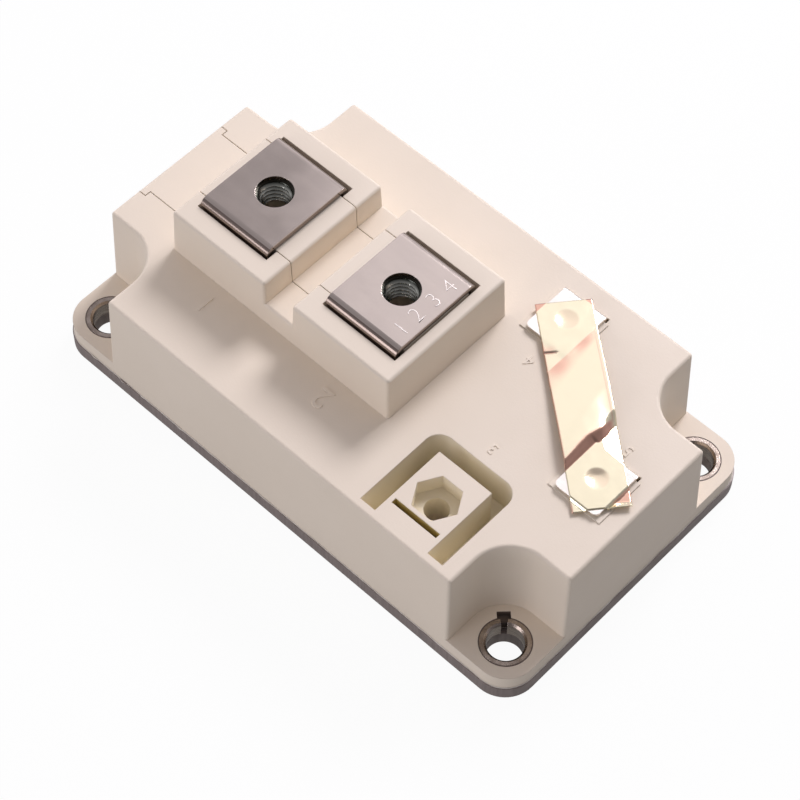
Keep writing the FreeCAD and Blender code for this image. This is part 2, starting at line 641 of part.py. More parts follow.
def make_housing(form, core, wells):
    """The moulded housing: outer form and raised pads, less the room inside and everything that slides in."""
    pads = []
    for place in ("gate", "sense"):
        x, y, _ = AUX_PLACES[place]
        half = "(aux_tab_width / 2 + pad_margin)"
        along_x = (f"{x} - {half}", f"{x} + {half}")
        along_y = (f"{y} - aux_tab_reach - pad_height", f"{y} + slot_offset + aux_thickness / 2 - aux_bend")
        pads.append(box(f"{place}_pad", along_x, along_y, (f"deck_height - {PAST}", PAD_TOP)))
    room = cut("room", core, [wells])
    skin = fuse("housing_skin", [form] + pads)
    tools = [room, trench_tool()] + carrier_blocks("slot", True)
    tools += terminal_pockets() + auxiliary_pockets() + sleeve_seats()
    return cut("housing", skin, tools), room


def make_adhesive(core):
    """Thin adhesive ring between the plate and the housing's foot."""
    body = new_body("bead_outer")
    outline = new_sketch(body, "bead_outline", "XY_Plane", "base_thickness")
    draw_outline(outline, *rounded_corners(FOOT_X, FOOT_Y, "(base_corner - foot_inset)"))
    pad(body, outline, "bead_pad", "bead_thickness")
    tools = [core]
    along_z = (f"base_thickness - {PAST}", f"{FOOT_Z} + {PAST}")
    for corner, (sign_x, sign_y) in CORNERS.items():
        x, y = f"{sign_x} * {HOLE_X}", f"{sign_y} * {HOLE_Y}"
        tools.append(cylinder(f"bead_hole_{corner}", x, y, along_z, "sleeve_outer"))
    return cut("adhesive_bead", body, tools)


# Nut carrier and nuts
def make_nut_carrier(form):
    """Slide-in carrier whose top follows the housing's own skin, with two captive nut pockets."""
    blank = common("carrier_blank", fuse("carrier_solid", carrier_blocks("carrier", False)), form)
    tools = []
    seat = f"({TAB_TOP} - tab_thickness - main_nut_thickness)"
    flats = "main_nut_flats + 2 * main_nut_gap"
    pocket_z, well_z = (seat, f"tower_height + {PAST}"), (f"{seat} - main_well_depth", seat)
    for number, middle in enumerate(MAIN_POSITIONS, start=1):
        tools.append(hexagon(f"carrier_nut_pocket_{number}", middle, "0", pocket_z, flats))
        tools.append(cylinder(f"carrier_well_{number}", middle, "0", well_z, "main_well_bore"))
    return cut("nut_carrier", blank, tools)


def make_nut(name, x, y, top, size):
    """Hexagon nut with both faces chamfered and a countersunk bore of the thread's minor diameter."""
    flats, thickness, bore = f"{size}_nut_flats", f"{size}_nut_thickness", f"{size}_nut_bore"
    bottom = f"({top} - {thickness})"
    blank = hexagon(f"{name}_blank", x, y, (bottom, top), flats)
    dome = new_body(f"{name}_dome", x, y)
    section = new_sketch(dome, f"{name}_dome_section", "XZ_Plane")
    chamfer = f"({flats} * {NUT_CHAMFER})"
    radius = f"({flats} / 2 / cos(30))"
    slope = f"({radius} - {flats} / 2 + {chamfer} / 3)"
    mouth, crown = f"{bore} / 2 + {chamfer}", f"{radius} - {slope}"
    draw_outline(section, [
        (mouth, bottom),
        (crown, bottom),
        (radius, f"{bottom} + {slope} * tan(30)"),
        (radius, f"{top} - {slope} * tan(30)"),
        (crown, top),
        (mouth, top),
        (f"{bore} / 2", f"{top} - {chamfer}"),
        (f"{bore} / 2", f"{bottom} + {chamfer}"),
    ])
    turn = dome.newObject("PartDesign::Revolution", f"{name}_dome_turn")
    turn.Profile = section
    turn.ReferenceAxis = (section, ["V_Axis"])
    turn.Angle = 360
    return common(name, blank, dome)


# Terminals
def make_main_terminal(number):
    """Bent copper strip: tab over the nut, a short lip behind and a leg down to its soldered foot."""
    name = f"main_terminal_{number}"
    body = new_body(name, MAIN_POSITIONS[number - 1])
    section = new_sketch(body, f"{name}_section", "YZ_Plane")
    leg, lip, sheet_metal = LEG_OUTER, LIP_OUTER, "tab_thickness"
    bend, fold, toe = "tab_bend", "lip_bend", "foot_bend"
    floor = COPPER_TOP
    knee = f"({floor} + {sheet_metal} + {toe})"
    corners = [
        (lip, f"{TAB_TOP} - lip_length"),
        (lip, f"{TAB_TOP} - {fold}"), (f"{lip} - {fold}", TAB_TOP),
        (f"{bend} - {leg}", TAB_TOP), (f"-{leg}", f"{TAB_TOP} - {bend}"),
        (f"-{leg}", knee), (f"-{leg} - {toe}", f"{floor} + {sheet_metal}"),
        (f"-{leg} - foot_length", f"{floor} + {sheet_metal}"), (f"-{leg} - foot_length", floor),
        (f"-{leg} - {toe}", floor), (f"{sheet_metal} - {leg}", knee),
        (f"{sheet_metal} - {leg}", f"{TAB_TOP} - {bend}"), (f"{bend} - {leg}", f"{TAB_TOP} - {sheet_metal}"),
        (f"{lip} - {fold}", f"{TAB_TOP} - {sheet_metal}"), (f"{lip} - {sheet_metal}", f"{TAB_TOP} - {fold}"),
        (f"{lip} - {sheet_metal}", f"{TAB_TOP} - lip_length"),
    ]
    lip_middle = (f"{lip} - {fold}", f"{TAB_TOP} - {fold}")
    leg_middle = (f"{bend} - {leg}", f"{TAB_TOP} - {bend}")
    toe_middle = (f"-{leg} - {toe}", knee)
    draw_outline(section, corners, {
        1: (fold, lip_middle, False), 3: (bend, leg_middle, False), 5: (toe, toe_middle, True),
        9: (f"{toe} + {sheet_metal}", toe_middle, False), 11: (f"{bend} - {sheet_metal}", leg_middle, True),
        13: (f"{fold} - {sheet_metal}", lip_middle, True),
    })
    pad(body, section, f"{name}_strip", "tab_width", both_ways=True)
    sides = new_sketch(body, f"{name}_leg_sides", "XZ_Plane")
    for sign in (-1, 1):
        inner, outer = f"{sign} * leg_width / 2", f"{sign} * (tab_width / 2 + {PAST})"
        across = (inner, outer) if sign > 0 else (outer, inner)
        draw_rectangle(sides, across, (f"{floor} - {PAST}", f"{TRAY_Z} - leg_shoulder"))
    pocket(body, sides, f"{name}_leg_cut", CLEAR, both_ways=True)
    hole = new_sketch(body, f"{name}_hole", "XY_Plane", TAB_TOP)
    draw_circle(hole, "0", "0", "tab_hole")
    pocket(body, hole, f"{name}_bore", "2 * tab_thickness")
    return body


def auxiliary_strip(name, place, leg_end, foot):
    """Tab over an auxiliary nut and a leg down through its slot, with or without a foot."""
    x, y, _ = AUX_PLACES[place]
    body = new_body(name, x, y)
    section = new_sketch(body, f"{name}_section", "YZ_Plane")
    outer = "(slot_offset + aux_thickness / 2)"
    sheet_metal, bend, toe = "aux_thickness", "aux_bend", "foot_bend"
    knee = f"({leg_end} + {sheet_metal} + {toe})"
    corners = [
        ("-aux_tab_reach", PAD_TOP),
        (f"{outer} - {bend}", PAD_TOP),
        (f"{outer} - {sheet_metal}", f"{AUX_TOP} - {bend}"),
    ]
    bend_middle = (f"{outer} - {bend}", f"{AUX_TOP} - {bend}")
    arcs = {1: (f"{bend} - {sheet_metal}", bend_middle, True)}
    if foot:
        toe_middle = (f"{outer} - {sheet_metal} - {toe}", knee)
        arcs[3] = (toe, toe_middle, True)
        arcs[7] = (f"{toe} + {sheet_metal}", toe_middle, False)
        corners += [
            (f"{outer} - {sheet_metal}", knee),
            (f"{outer} - {sheet_metal} - {toe}", f"{leg_end} + {sheet_metal}"),
            (f"{outer} - aux_foot", f"{leg_end} + {sheet_metal}"),
            (f"{outer} - aux_foot", leg_end),
            (f"{outer} - {sheet_metal} - {toe}", leg_end),
            (outer, knee),
        ]
    else:
        corners += [(f"{outer} - {sheet_metal}", leg_end), (outer, leg_end)]
    arcs[len(corners)] = (bend, bend_middle, False)
    corners += [(outer, f"{AUX_TOP} - {bend}"), (f"{outer} - {bend}", AUX_TOP), ("-aux_tab_reach", AUX_TOP)]
    draw_outline(section, corners, arcs)
    pad(body, section, f"{name}_strip", "aux_tab_width", both_ways=True)
    hole = new_sketch(body, f"{name}_hole", "XY_Plane", AUX_TOP)
    draw_circle(hole, "0", "0", "aux_hole")
    bored = pocket(body, hole, f"{name}_bore", "2 * aux_thickness")
    free_end, upright = value("-aux_tab_reach"), value("aux_thickness") / 2
    corner_edges = []
    for number, edge in enumerate(bored.Shape.Edges, start=1):
        if edge.BoundBox.YMax < free_end + LEVEL_NEAR and edge.BoundBox.ZLength > upright:
            corner_edges.append(f"Edge{number}")
    rounding = body.newObject("PartDesign::Fillet", f"{name}_corners")
    rounding.Base = (bored, corner_edges)
    bind(rounding, Radius="aux_corner")
    return body


def make_sense_terminal():
    """Auxiliary emitter terminal: its leg turns sideways in its own plane to reach the tile."""
    strip = auxiliary_strip("sense_strip", "sense", "sense_leg_end", False)
    outer = "(sense_y + slot_offset + aux_thickness / 2)"
    along_y = (f"{outer} - aux_thickness", outer)
    toe_x = f"({TILE_END} - copper_margin - sense_pad / 2)"
    toe_left = f"({toe_x} - aux_thickness)"
    arm_top = "sense_leg_end + sense_arm"
    arm = box("sense_arm_block", (toe_left, SENSE_X), along_y, ("sense_leg_end", arm_top))
    toe = box("sense_toe", (toe_left, f"{toe_x} + aux_thickness"), along_y, (COPPER_TOP, arm_top))
    return fuse("sense_terminal", [strip, arm, toe])


def make_shorting_strip():
    """Copper foil laid over both auxiliary tabs, arched between them and pressed into their holes."""
    tab = "(aux_tab_width / 2)"
    level = f"({AUX_TOP} + strip_lift)"
    low = f"({level} - strip_dip)"
    edge, slope = f"({tab} + strip_edge)", f"({tab} + strip_slope)"
    left, right = f"(gate_x + {edge})", f"({SENSE_X} - {edge})"
    span = f"({right} - {left})"
    arch = [(f"{left} + {share} * {span}", f"{level} + strip_arch * {rise}") for share, rise in FOIL_ARCH]
    path = [
        (f"gate_x - {CLEAR}", low),
        (f"gate_x - {slope}", low),
        (f"gate_x - {edge}", level),
        (left, level),
        (f"{left} + {FOIL_DIP} * {span}", low),
        *arch,
        (right, level),
        (f"{SENSE_X} + {edge}", level),
        (f"{SENSE_X} + {slope}", low),
        (f"{SENSE_X} + {CLEAR}", low),
    ]
    body = new_body("strip_wave")
    section = new_sketch(body, "strip_section", "XZ_Plane")
    draw_outline(section, path + [(x, f"{z} + strip_thickness") for x, z in reversed(path)])
    pad(body, section, "strip_pad", CLEAR, both_ways=True)
    run_x, run_y = f"({SENSE_X} - gate_x)", f"(sense_y - {GATE_Y})"
    run = f"sqrt({run_x} * {run_x} + {run_y} * {run_y})"
    turn = f"atan({run_y} / {run_x})"
    blank = document.addObject("Part::Box", "strip_blank")
    bind(blank, Length=f"{run} + strip_overhang_gate + strip_overhang_sense")
    bind(blank, Width="strip_width", Height=CLEAR)
    bind(blank, Placement__Rotation__Angle=turn)
    start_x = f"gate_x - strip_overhang_gate * cos({turn}) + strip_width / 2 * sin({turn})"
    start_y = f"{GATE_Y} - strip_overhang_gate * sin({turn}) - strip_width / 2 * cos({turn})"
    bind(blank, Placement__Base__x=start_x, Placement__Base__y=start_y)
    holes, dimples = [], []
    mouth = "2 * dimple_radius - strip_thickness"
    for place in ("gate", "sense"):
        x, y, _ = AUX_PLACES[place]
        holes.append(cylinder(f"{place}_strip_hole", x, y, ("deck_height", f"{level} + {PAST}"), mouth))
        dish = document.addObject("Part::Cone", f"{place}_dimple_dish")
        hollow = document.addObject("Part::Cone", f"{place}_dimple_hollow")
        for cone, lift in ((dish, "0"), (hollow, "strip_thickness")):
            bind(cone, Radius1=f"dimple_floor - {lift}", Radius2=f"dimple_radius - {lift} / 2")
            bind(cone, Height="dimple_depth + strip_thickness", Placement__Base__x=x, Placement__Base__y=y)
            bind(cone, Placement__Base__z=f"{level} - dimple_depth + {lift}")
        dimples.append(cut(f"{place}_dimple", dish, [hollow]))
    sheet_part = cut("strip_sheet", common("strip_cut", body, blank), holes)
    return fuse("shorting_strip", [sheet_part] + dimples)


# Inside: tiles, chips, wires, bridges and gel
def tile_box(name, tile, x, y, z):
    """A block placed from the middle of a tile; the second tile mirrors the first."""
    middle = TILE_MIDDLES[tile]
    near, far = (f"{middle} + {x[0]}", f"{middle} + {x[1]}")
    if tile:
        near, far = (f"{middle} - ({x[1]})", f"{middle} - ({x[0]})")
    return box(name, (near, far), y, z)


TILE_X = f"({TILE_LENGTH} / 2 - copper_margin)"
TILE_Y = "(tile_width / 2 - copper_margin)"
EMITTER_X = f"({TILE_X} - emitter_strip)"
GATE_COPPER_Y = f"({TILE_Y} - gate_strip)"
CHIP_COLUMNS = ("chip_offset - chip_pitch / 2", "chip_offset + chip_pitch / 2")


def make_tile(tile):
    """Ceramic tile with copper bonded to both faces; the upper copper is etched into areas."""
    ceramic_bottom = "(base_thickness + copper_thickness)"
    ceramic_top = f"({ceramic_bottom} + tile_thickness)"
    number = tile + 1
    half_x, half_y = f"{TILE_LENGTH} / 2", "tile_width / 2"
    whole_x, whole_y = (f"-{half_x}", half_x), (f"-{half_y}", half_y)
    copper_x, copper_y = (f"-{TILE_X}", TILE_X), (f"-{TILE_Y}", TILE_Y)
    ceramic = tile_box(f"ceramic_tile_{number}", tile, whole_x, whole_y, (ceramic_bottom, ceramic_top))
    under = ("base_thickness", ceramic_bottom)
    backing = tile_box(f"copper_backing_{number}", tile, copper_x, copper_y, under)
    layer = (ceramic_top, COPPER_TOP)
    area_y = (f"-{TILE_Y}", f"{GATE_COPPER_Y} - copper_gap")
    collector_x = (f"-{TILE_X}", f"{EMITTER_X} - copper_gap")
    collector = tile_box(f"collector_area_{number}", tile, collector_x, area_y, layer)
    sense_middle = "(sense_y + slot_offset)"
    sense_y = (f"{sense_middle} - sense_pad_width / 2", f"{sense_middle} + sense_pad_width / 2")
    notch_x = (f"-{TILE_X} - {PAST}", f"-{TILE_X} + sense_pad + copper_gap")
    notch_y = (f"{sense_y[0]} - copper_gap", f"{sense_y[1]} + copper_gap")
    notch = tile_box(f"sense_notch_{number}", tile, notch_x, notch_y, layer)
    areas = [
        cut(f"collector_copper_{number}", collector, [notch]),
        tile_box(f"sense_area_{number}", tile, (f"-{TILE_X}", f"-{TILE_X} + sense_pad"), sense_y, layer),
        tile_box(f"emitter_area_{number}", tile, (EMITTER_X, TILE_X), area_y, layer),
        tile_box(f"gate_area_{number}", tile, copper_x, (GATE_COPPER_Y, TILE_Y), layer),
    ]
    return ceramic, backing, group(f"copper_pattern_{number}", areas)


def make_chips(name, size, row):
    """Square chips on the collector copper, two on each tile."""
    chips = []
    for tile in range(len(TILE_MIDDLES)):
        for column, middle in enumerate(CHIP_COLUMNS, start=1):
            along_x = (f"{middle} - {size} / 2", f"{middle} + {size} / 2")
            along_y = (f"{row} - {size} / 2", f"{row} + {size} / 2")
            chip = tile_box(f"{name}_{tile + 1}_{column}", tile, along_x, along_y, (COPPER_TOP, CHIP_TOP))
            chips.append(chip)
    return group(name, chips)


def wire_loop(start, end, height):
    """One bond wire: a round wire bent into a loop of four straight runs between two feet."""
    across = end - start
    knees = [start + across * share + Vector(0, 0, height * rise) for share, rise in WIRE_KNEES]
    path = Part.makePolygon([start] + knees + [end])
    section = Part.Wire(Part.Circle(start, knees[0] - start, value("wire_diameter") / 2).toShape())
    return path.makePipeShell([section], True, False, 1)


def make_bond_wires():
    """Wires stitched from chip to chip to the emitter copper, and short gate wires."""
    radius = value("wire_diameter") / 2
    chip_level, copper_level = value(CHIP_TOP) + radius, value(COPPER_TOP) + radius
    strip_x = value(f"{EMITTER_X} + emitter_strip / 2")
    columns = [value(place) for place in CHIP_COLUMNS]
    loops = []
    for tile, middle in enumerate(TILE_MIDDLES):
        centre, sign = value(middle), (1 if tile == 0 else -1)
        for row in ("switch_y", "diode_y"):
            for step in (-1, 0, 1):
                y = value(f"{row} + {step} * wire_pitch")
                stops = [Vector(centre + sign * x, y, chip_level) for x in columns]
                stops.append(Vector(centre + sign * strip_x, y, copper_level))
                loops += [wire_loop(a, b, value("wire_loop")) for a, b in zip(stops, stops[1:])]
        pad_y = value("switch_y + switch_chip / 2 - gate_pad_inset")
        copper_y = value(f"{GATE_COPPER_Y} + wire_diameter")
        for x in columns:
            start = Vector(centre + sign * x, pad_y, chip_level)
            end = Vector(centre + sign * x, copper_y, copper_level)
            loops.append(wire_loop(start, end, value("gate_wire_loop")))
    lead_left = value(f"{TILE_MIDDLES[0]} + {TILE_X} - gate_lead_inset")
    lead_right = value(f"{TILE_MIDDLES[1]} - {TILE_X} + gate_lead_inset")
    lead_y = value(f"{GATE_COPPER_Y} + gate_strip / 2")
    lead = [Vector(x, lead_y, copper_level) for x in (lead_left, lead_right)]
    loops.append(wire_loop(*lead, value("gate_wire_loop")))
    wires = document.addObject("Part::Feature", "bond_wires")
    wires.Shape = Part.makeCompound(loops)
    return wires


def make_bridge(name, middle):
    """Bent copper bridge that joins the collector copper of both tiles over the emitter strips."""
    body = new_body(name, MAIN_POSITIONS[1], middle)
    section = new_sketch(body, f"{name}_section", "XZ_Plane")
    reach = "(tile_gap / 2 + copper_margin + emitter_strip + copper_gap + bridge_inset)"
    thickness, top, floor = "bridge_thickness", f"({COPPER_TOP} + bridge_height)", COPPER_TOP
    right = [
        (f"{reach} + bridge_foot", floor),
        (f"{reach} + bridge_foot", f"{floor} + {thickness}"),
        (f"{reach} + {thickness}", f"{floor} + {thickness}"),
        (f"{reach} + {thickness}", top),
    ]
    left = [(f"-({x})", z) for x, z in reversed(right)]
    under = f"{top} - {thickness}"
    inside = [(f"-{reach}", floor), (f"-{reach}", under), (reach, under), (reach, floor)]
    draw_outline(section, right + left + inside)
    pad(body, section, f"{name}_pad", "bridge_width", both_ways=True)
    return body


def make_gel(room, embedded):
    """Soft silicone that fills the room up to its level round everything inside."""
    level = box("gel_level", (f"-{CLEAR}", CLEAR), (f"-{CLEAR}", CLEAR), ("0", "gel_height"))
    return cut("silicone_gel", common("gel_blank", room, level), [group("embedded", embedded)])


# Assembly
form = make_housing_form()
core = make_core()
wells = make_wells()
document.recompute()
housing, room = make_housing(form, core, wells)
parts = [make_baseplate(), housing, make_adhesive(core), make_nut_carrier(form)]
parts += [make_sleeve(corner) for corner in CORNERS]
main_terminals = [make_main_terminal(number) for number in (1, 2)]
for number, middle in enumerate(MAIN_POSITIONS, start=1):
    parts.append(make_nut(f"main_nut_{number}", middle, "0", f"({TAB_TOP} - tab_thickness)", "main"))
for place in ("gate", "sense"):
    x, y, _ = AUX_PLACES[place]
    parts.append(make_nut(f"{place}_nut", x, y, PAD_TOP, "aux"))
gate_terminal = auxiliary_strip("gate_terminal", "gate", COPPER_TOP, True)
sense_terminal = make_sense_terminal()
parts.append(make_shorting_strip())
inside = []
for tile in range(len(TILE_MIDDLES)):
    inside += make_tile(tile)
inside.append(make_chips("igbt_chips", "switch_chip", "switch_y"))
inside.append(make_chips("diode_chips", "diode_chip", "diode_y"))
inside.append(make_bond_wires())
bridges = [make_bridge(f"{side}_bridge", f"bridge_{side}_y") for side in ("front", "back")]
inside.append(group("collector_bridges", bridges))
inside += main_terminals + [gate_terminal, sense_terminal]
document.recompute()
parts += inside + [make_gel(room, inside)]
document.recompute()

for item in document.Objects:
    if "Invalid" in item.State or "Error" in item.State:
        raise ValueError(f"{item.Name} failed: {item.State}")
os.makedirs("parts", exist_ok=True)
for part in parts:
    shape = part.Shape
    if shape.isNull() or not shape.isValid() or not shape.Solids:
        raise ValueError(f"{part.Label} has no valid solid")
    shape.exportStep(f"parts/{part.Label}.step")
    print(f"{part.Label}: {len(shape.Solids)} solid(s), {shape.Volume:.1f} mm3")
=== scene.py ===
"""Looks of the power module: finishes, foil strip, threaded nuts, digits, adhesive, floor and light."""
import json
import math

import bmesh
import bpy
from mathutils import Matrix, Vector, noise


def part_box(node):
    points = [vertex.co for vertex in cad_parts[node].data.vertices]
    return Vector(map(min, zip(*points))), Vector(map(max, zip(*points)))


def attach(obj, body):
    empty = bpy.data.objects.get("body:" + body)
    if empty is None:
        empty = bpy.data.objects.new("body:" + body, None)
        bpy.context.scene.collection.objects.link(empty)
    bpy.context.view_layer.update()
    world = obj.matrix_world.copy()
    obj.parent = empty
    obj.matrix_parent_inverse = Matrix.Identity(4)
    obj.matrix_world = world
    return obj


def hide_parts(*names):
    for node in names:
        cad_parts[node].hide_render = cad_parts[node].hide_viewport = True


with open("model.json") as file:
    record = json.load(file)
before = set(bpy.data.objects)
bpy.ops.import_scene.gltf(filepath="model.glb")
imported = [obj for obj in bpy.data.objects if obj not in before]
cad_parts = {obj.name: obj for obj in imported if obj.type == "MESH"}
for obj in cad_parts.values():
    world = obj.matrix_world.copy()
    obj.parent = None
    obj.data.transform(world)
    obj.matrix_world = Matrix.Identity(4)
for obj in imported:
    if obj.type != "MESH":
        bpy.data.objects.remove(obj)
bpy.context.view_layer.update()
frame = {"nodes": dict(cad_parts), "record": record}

MM = 0.001

# Levels above the underside and places on the module, in millimetres
FLANGE = 5.95
DECK = 23.7
AUX_TOP = 24.7
TAB_TOP = 35.3
MOUNTING_HOLE = (46.5, 24.0, 0.0)
SLEEVE_GAP = 4.5
GATE_HOLE = (19.6, 20.0)
SENSE_HOLE = (43.5, 0.0)
TAB_HALF_WIDTH = 4.55
TAB_REACH = (5.45, 5.0)
PLATE_CORNER = 6.0

# Boxes where painted light and shade go, as centre and half size in millimetres
TRENCH_DEEP = ((27.1, -19.1, 19.4), (9.4, 9.6, 4.15))
LEG_SLOT_DEEP = ((27.1, -24.8, 18.4), (5.0, 0.7, 5.2))
SLEEVE_RECESS = ((43.0, 20.5, FLANGE - 0.8), (1.7, 1.7, 0.75))
BELOW_TAB = ((0.0, 0.0, TAB_TOP - 10.2), (60.0, 30.0, 10.0))

# Painted light and shade, and the foil's own bright copper
TRENCH_PAINTED_BOUNCE_LIGHT = (0.90, 0.82, 0.635)
LEG_SLOT_PAINTED_SHADE = (0.62, 0.50, 0.20)
SLEEVE_RECESS_PAINTED_SHADE = (0.20, 0.15, 0.12)
SLEEVE_GAP_PAINTED_SHADE = (0.14, 0.105, 0.085)
TERMINAL_LEG_PAINTED_SHADE = (0.26, 0.21, 0.18)
THREAD_PAINTED_SHADE = (0.05, 0.055, 0.045)
FOIL_BRIGHT = (0.92, 0.85, 0.61)
FOIL_PAINTED_SHADE_PINK = (0.88, 0.58, 0.43)
FOIL_PAINTED_SHADE_DARK = (0.70, 0.39, 0.29)

# Foil strip: size, grid and ends past the screw holes
FOIL_LEVEL = AUX_TOP + 0.05
FOIL_THICKNESS = 0.14
FOIL_WIDTH = 9.7
FOIL_ENDS = (3.6, 5.6)
FOIL_STEPS = 250
FOIL_ROWS = 60
EDGE_RAGGEDNESS = 0.05
BEND_WIDTH = 0.2
SMALLEST_FACE = 0.03

# Foil strip: arch between the tabs, as heights and as places along X
ARCH_HEIGHT = 0.85
RISE_START = 24.6
CREST = 34.5
CREST_SKEW = 0.9
BROW = 37.4
BROW_SHIFT_RIGHT = 0.8
BROW_SHIFT_LEFT = 0.4
BROW_WAVE = 0.08
FOOT = 38.95
FOOT_SHIFT_BEHIND = 0.45
FOOT_SHIFT_REAR = 0.3
LEAN = 0.14
LEAN_SPAN = (29.0, 38.5)
BAND_SWELL = 0.1
SWELL_START = 32.5

# Foil strip: where it hangs over the tabs' edges, creases and dimples
EDGE_DROP = 0.05
END_DROP = 0.55
FACET_CORNER = (37.8, 7.5)
FACET_HEADING = (0.64, 0.77)
FACET_SLOPE = 0.2
FACET_DROP = 0.8
FACET_START = (37.0, 38.6)
FOLD_PLACE = 6.45
FOLD_SKEW = 0.12
FOLD_WIDTH = 0.17
FOLD_DEPTH = 0.2
FOLD_SPAN = (0.42, 0.75)
DIMPLE_RADIUS = 2.15
DIMPLE_DEPTH = 0.16
RIM_RIDGE = 0.012
RIM_DROP_RIGHT = 0.025
RIM_DROP_LEFT = 0.03
WAVINESS = 0.012
FINE_WAVINESS = 0.003
CURL_HEIGHT = 0.35
CURL_SPAN = (35.6, 36.8)

# Foil strip: how much painted shade each crease, slope, rim and dimple gets
STEEP_PAINTED_SHADE = 0.9
GATE_CORNER_PAINTED_SHADE = 0.8
SENSE_CORNER_PAINTED_SHADE = 0.7
SENSE_CORNER_SPAN = (35.4, 36.2)
CREASE_PAINTED_SHADE = 0.72
CREASE_SPAN = (24.4, 27.2)
CREASE_SKEW = 1.2
CREASE_MIDDLE = 12.0
REAR_PAINTED_SHADE = 0.3
REAR_SPAN = (43.0, 45.5)
FOLD_HALO_PAINTED_SHADE = 0.35
FOLD_HALO_WIDTH = 0.8
RIM_PAINTED_SHADE_LEFT = 0.7
RIM_PAINTED_SHADE_RIGHT = 0.3
DIMPLE_PAINTED_SHADE = 0.14

# Thread of the M6 nuts
THREAD_PITCH = 1.0
THREAD_INNER = 2.5
THREAD_OUTER = 3.0
THREAD_LEAD_IN = 0.6
NUT_SIDES = 96
NUT_LEVELS = 60
NUT_CHAMFER = 0.97

# Digits: place and height of the moulded ones, places of the stamped ones
MOULDED_DIGITS = {
    "1": (-26.8, -18.6, 3.4),
    "2": (0.45, -18.6, 4.1),
    "3": (27.3, -6.7, 2.1),
    "4": (20.2, 10.1, 2.2),
    "5": (43.4, 7.9, 2.2),
}
MOULDED_RISE = 0.11
STAMP_X = 5.9
STAMPED_DIGITS = {"1": -5.7, "2": -2.1, "3": 2.0, "4": 5.7}
STAMPED_HEIGHT = 3.0
STAMPED_RISE = 0.03
STAMPED_THINNING = 0.12
DIGIT_EDGE = 0.02
FONT_SIZE_PER_HEIGHT = 1.4

# Adhesive seam
SEAM_INSET = 0.3
SEAM_STEP = 0.5
SEAM_SIDES = 8
SEAM_RADIUS = 0.11
SEAM_OUT = 0.05
SEAM_LIFT = 0.06
SAG_THRESHOLD = 0.25
SAG_OUT = 0.45
SAG_DROP = 0.5
CORNER_TURN = 10

# Light of the room, strengths as from one side to the other
DARK_SIDE = -35
SKY_SIDES = (0.9, 0.15)
SKY_RISE = (1.2, 0.55)
FLOOR_GLOW = (0.25, 0.95)
FLOOR_WHITE = (0.95, 0.95, 0.95)
FLOOR_GREY = (0.3, 0.3, 0.3)
FLOOR_SIZE = 3.0
FLOOR_LEVEL = -0.2
LAMP_TINT = (0.965, 0.93, 1.0)
ROOM_TINT = (0.965, 0.92, 1.0)

# Camera: place in millimetres, azimuth, elevation and roll in degrees, lens and sensor
CAMERA_PLACE = (162.063, -175.289, 368.044)
CAMERA_ANGLES = (132.661, -56.906, 0.728)
CAMERA_LENS = 113.28
CAMERA_SENSOR = 36.0


# Shader helpers
def start_material(name, colour, roughness, metallic=0.0):
    made = bpy.data.materials.new(name)
    made.use_nodes = True
    shader = made.node_tree.nodes["Principled BSDF"]
    shader.inputs["Base Color"].default_value = (*colour, 1.0)
    shader.inputs["Roughness"].default_value = roughness
    shader.inputs["Metallic"].default_value = metallic
    return made, made.node_tree, shader


def grain(tree, size, detail=2.0, stretch=(1.0, 1.0, 1.0)):
    """Noise in the object's space with features of the given size in millimetres."""
    place = tree.nodes.new("ShaderNodeTexCoord")
    mapping = tree.nodes.new("ShaderNodeMapping")
    mapping.inputs["Scale"].default_value = stretch
    texture = tree.nodes.new("ShaderNodeTexNoise")
    texture.inputs["Scale"].default_value = 1.0 / (size * MM)
    texture.inputs["Detail"].default_value = detail
    tree.links.new(place.outputs["Object"], mapping.inputs["Vector"])
    tree.links.new(mapping.outputs["Vector"], texture.inputs["Vector"])
    return texture.outputs["Fac"]


def colours(tree, shader, factor, stops):
    """Colour ramp from a factor to the base colour; stops are (position, colour)."""
    ramp = tree.nodes.new("ShaderNodeValToRGB")
    elements = ramp.color_ramp.elements
    while len(elements) < len(stops):
        elements.new(0.5)
    for element, (position, colour) in zip(elements, stops):
        element.position = position
        element.color = (*colour, 1.0)
    tree.links.new(factor, ramp.inputs["Fac"])
    tree.links.new(ramp.outputs["Color"], shader.inputs["Base Color"])


def roughness_range(tree, shader, factor, low, high):
    spread = tree.nodes.new("ShaderNodeMapRange")
    spread.inputs["From Min"].default_value = 0.3
    spread.inputs["From Max"].default_value = 0.7
    spread.inputs["To Min"].default_value = low
    spread.inputs["To Max"].default_value = high
    tree.links.new(factor, spread.inputs["Value"])
    tree.links.new(spread.outputs["Result"], shader.inputs["Roughness"])


def relief(tree, shader, height, depth, edge=0.0):
    """Bump of the given depth in millimetres, on edges rounded by the given radius."""
    bump = tree.nodes.new("ShaderNodeBump")
    bump.inputs["Strength"].default_value = 1.0
    bump.inputs["Distance"].default_value = depth * MM
    tree.links.new(height, bump.inputs["Height"])
    if edge:
        bevel = tree.nodes.new("ShaderNodeBevel")
        bevel.samples = 4
        bevel.inputs["Radius"].default_value = edge * MM
        tree.links.new(bevel.outputs["Normal"], bump.inputs["Normal"])
    tree.links.new(bump.outputs["Normal"], shader.inputs["Normal"])


def binary_math(tree, operation, first, second):
    """Two sockets, or a socket and a number, joined by a calculation."""
    node = tree.nodes.new("ShaderNodeMath")
    node.operation = operation
    tree.links.new(first, node.inputs[0])
    if isinstance(second, float):
        node.inputs[1].default_value = second
    else:
        tree.links.new(second, node.inputs[1])
    return node.outputs["Value"]


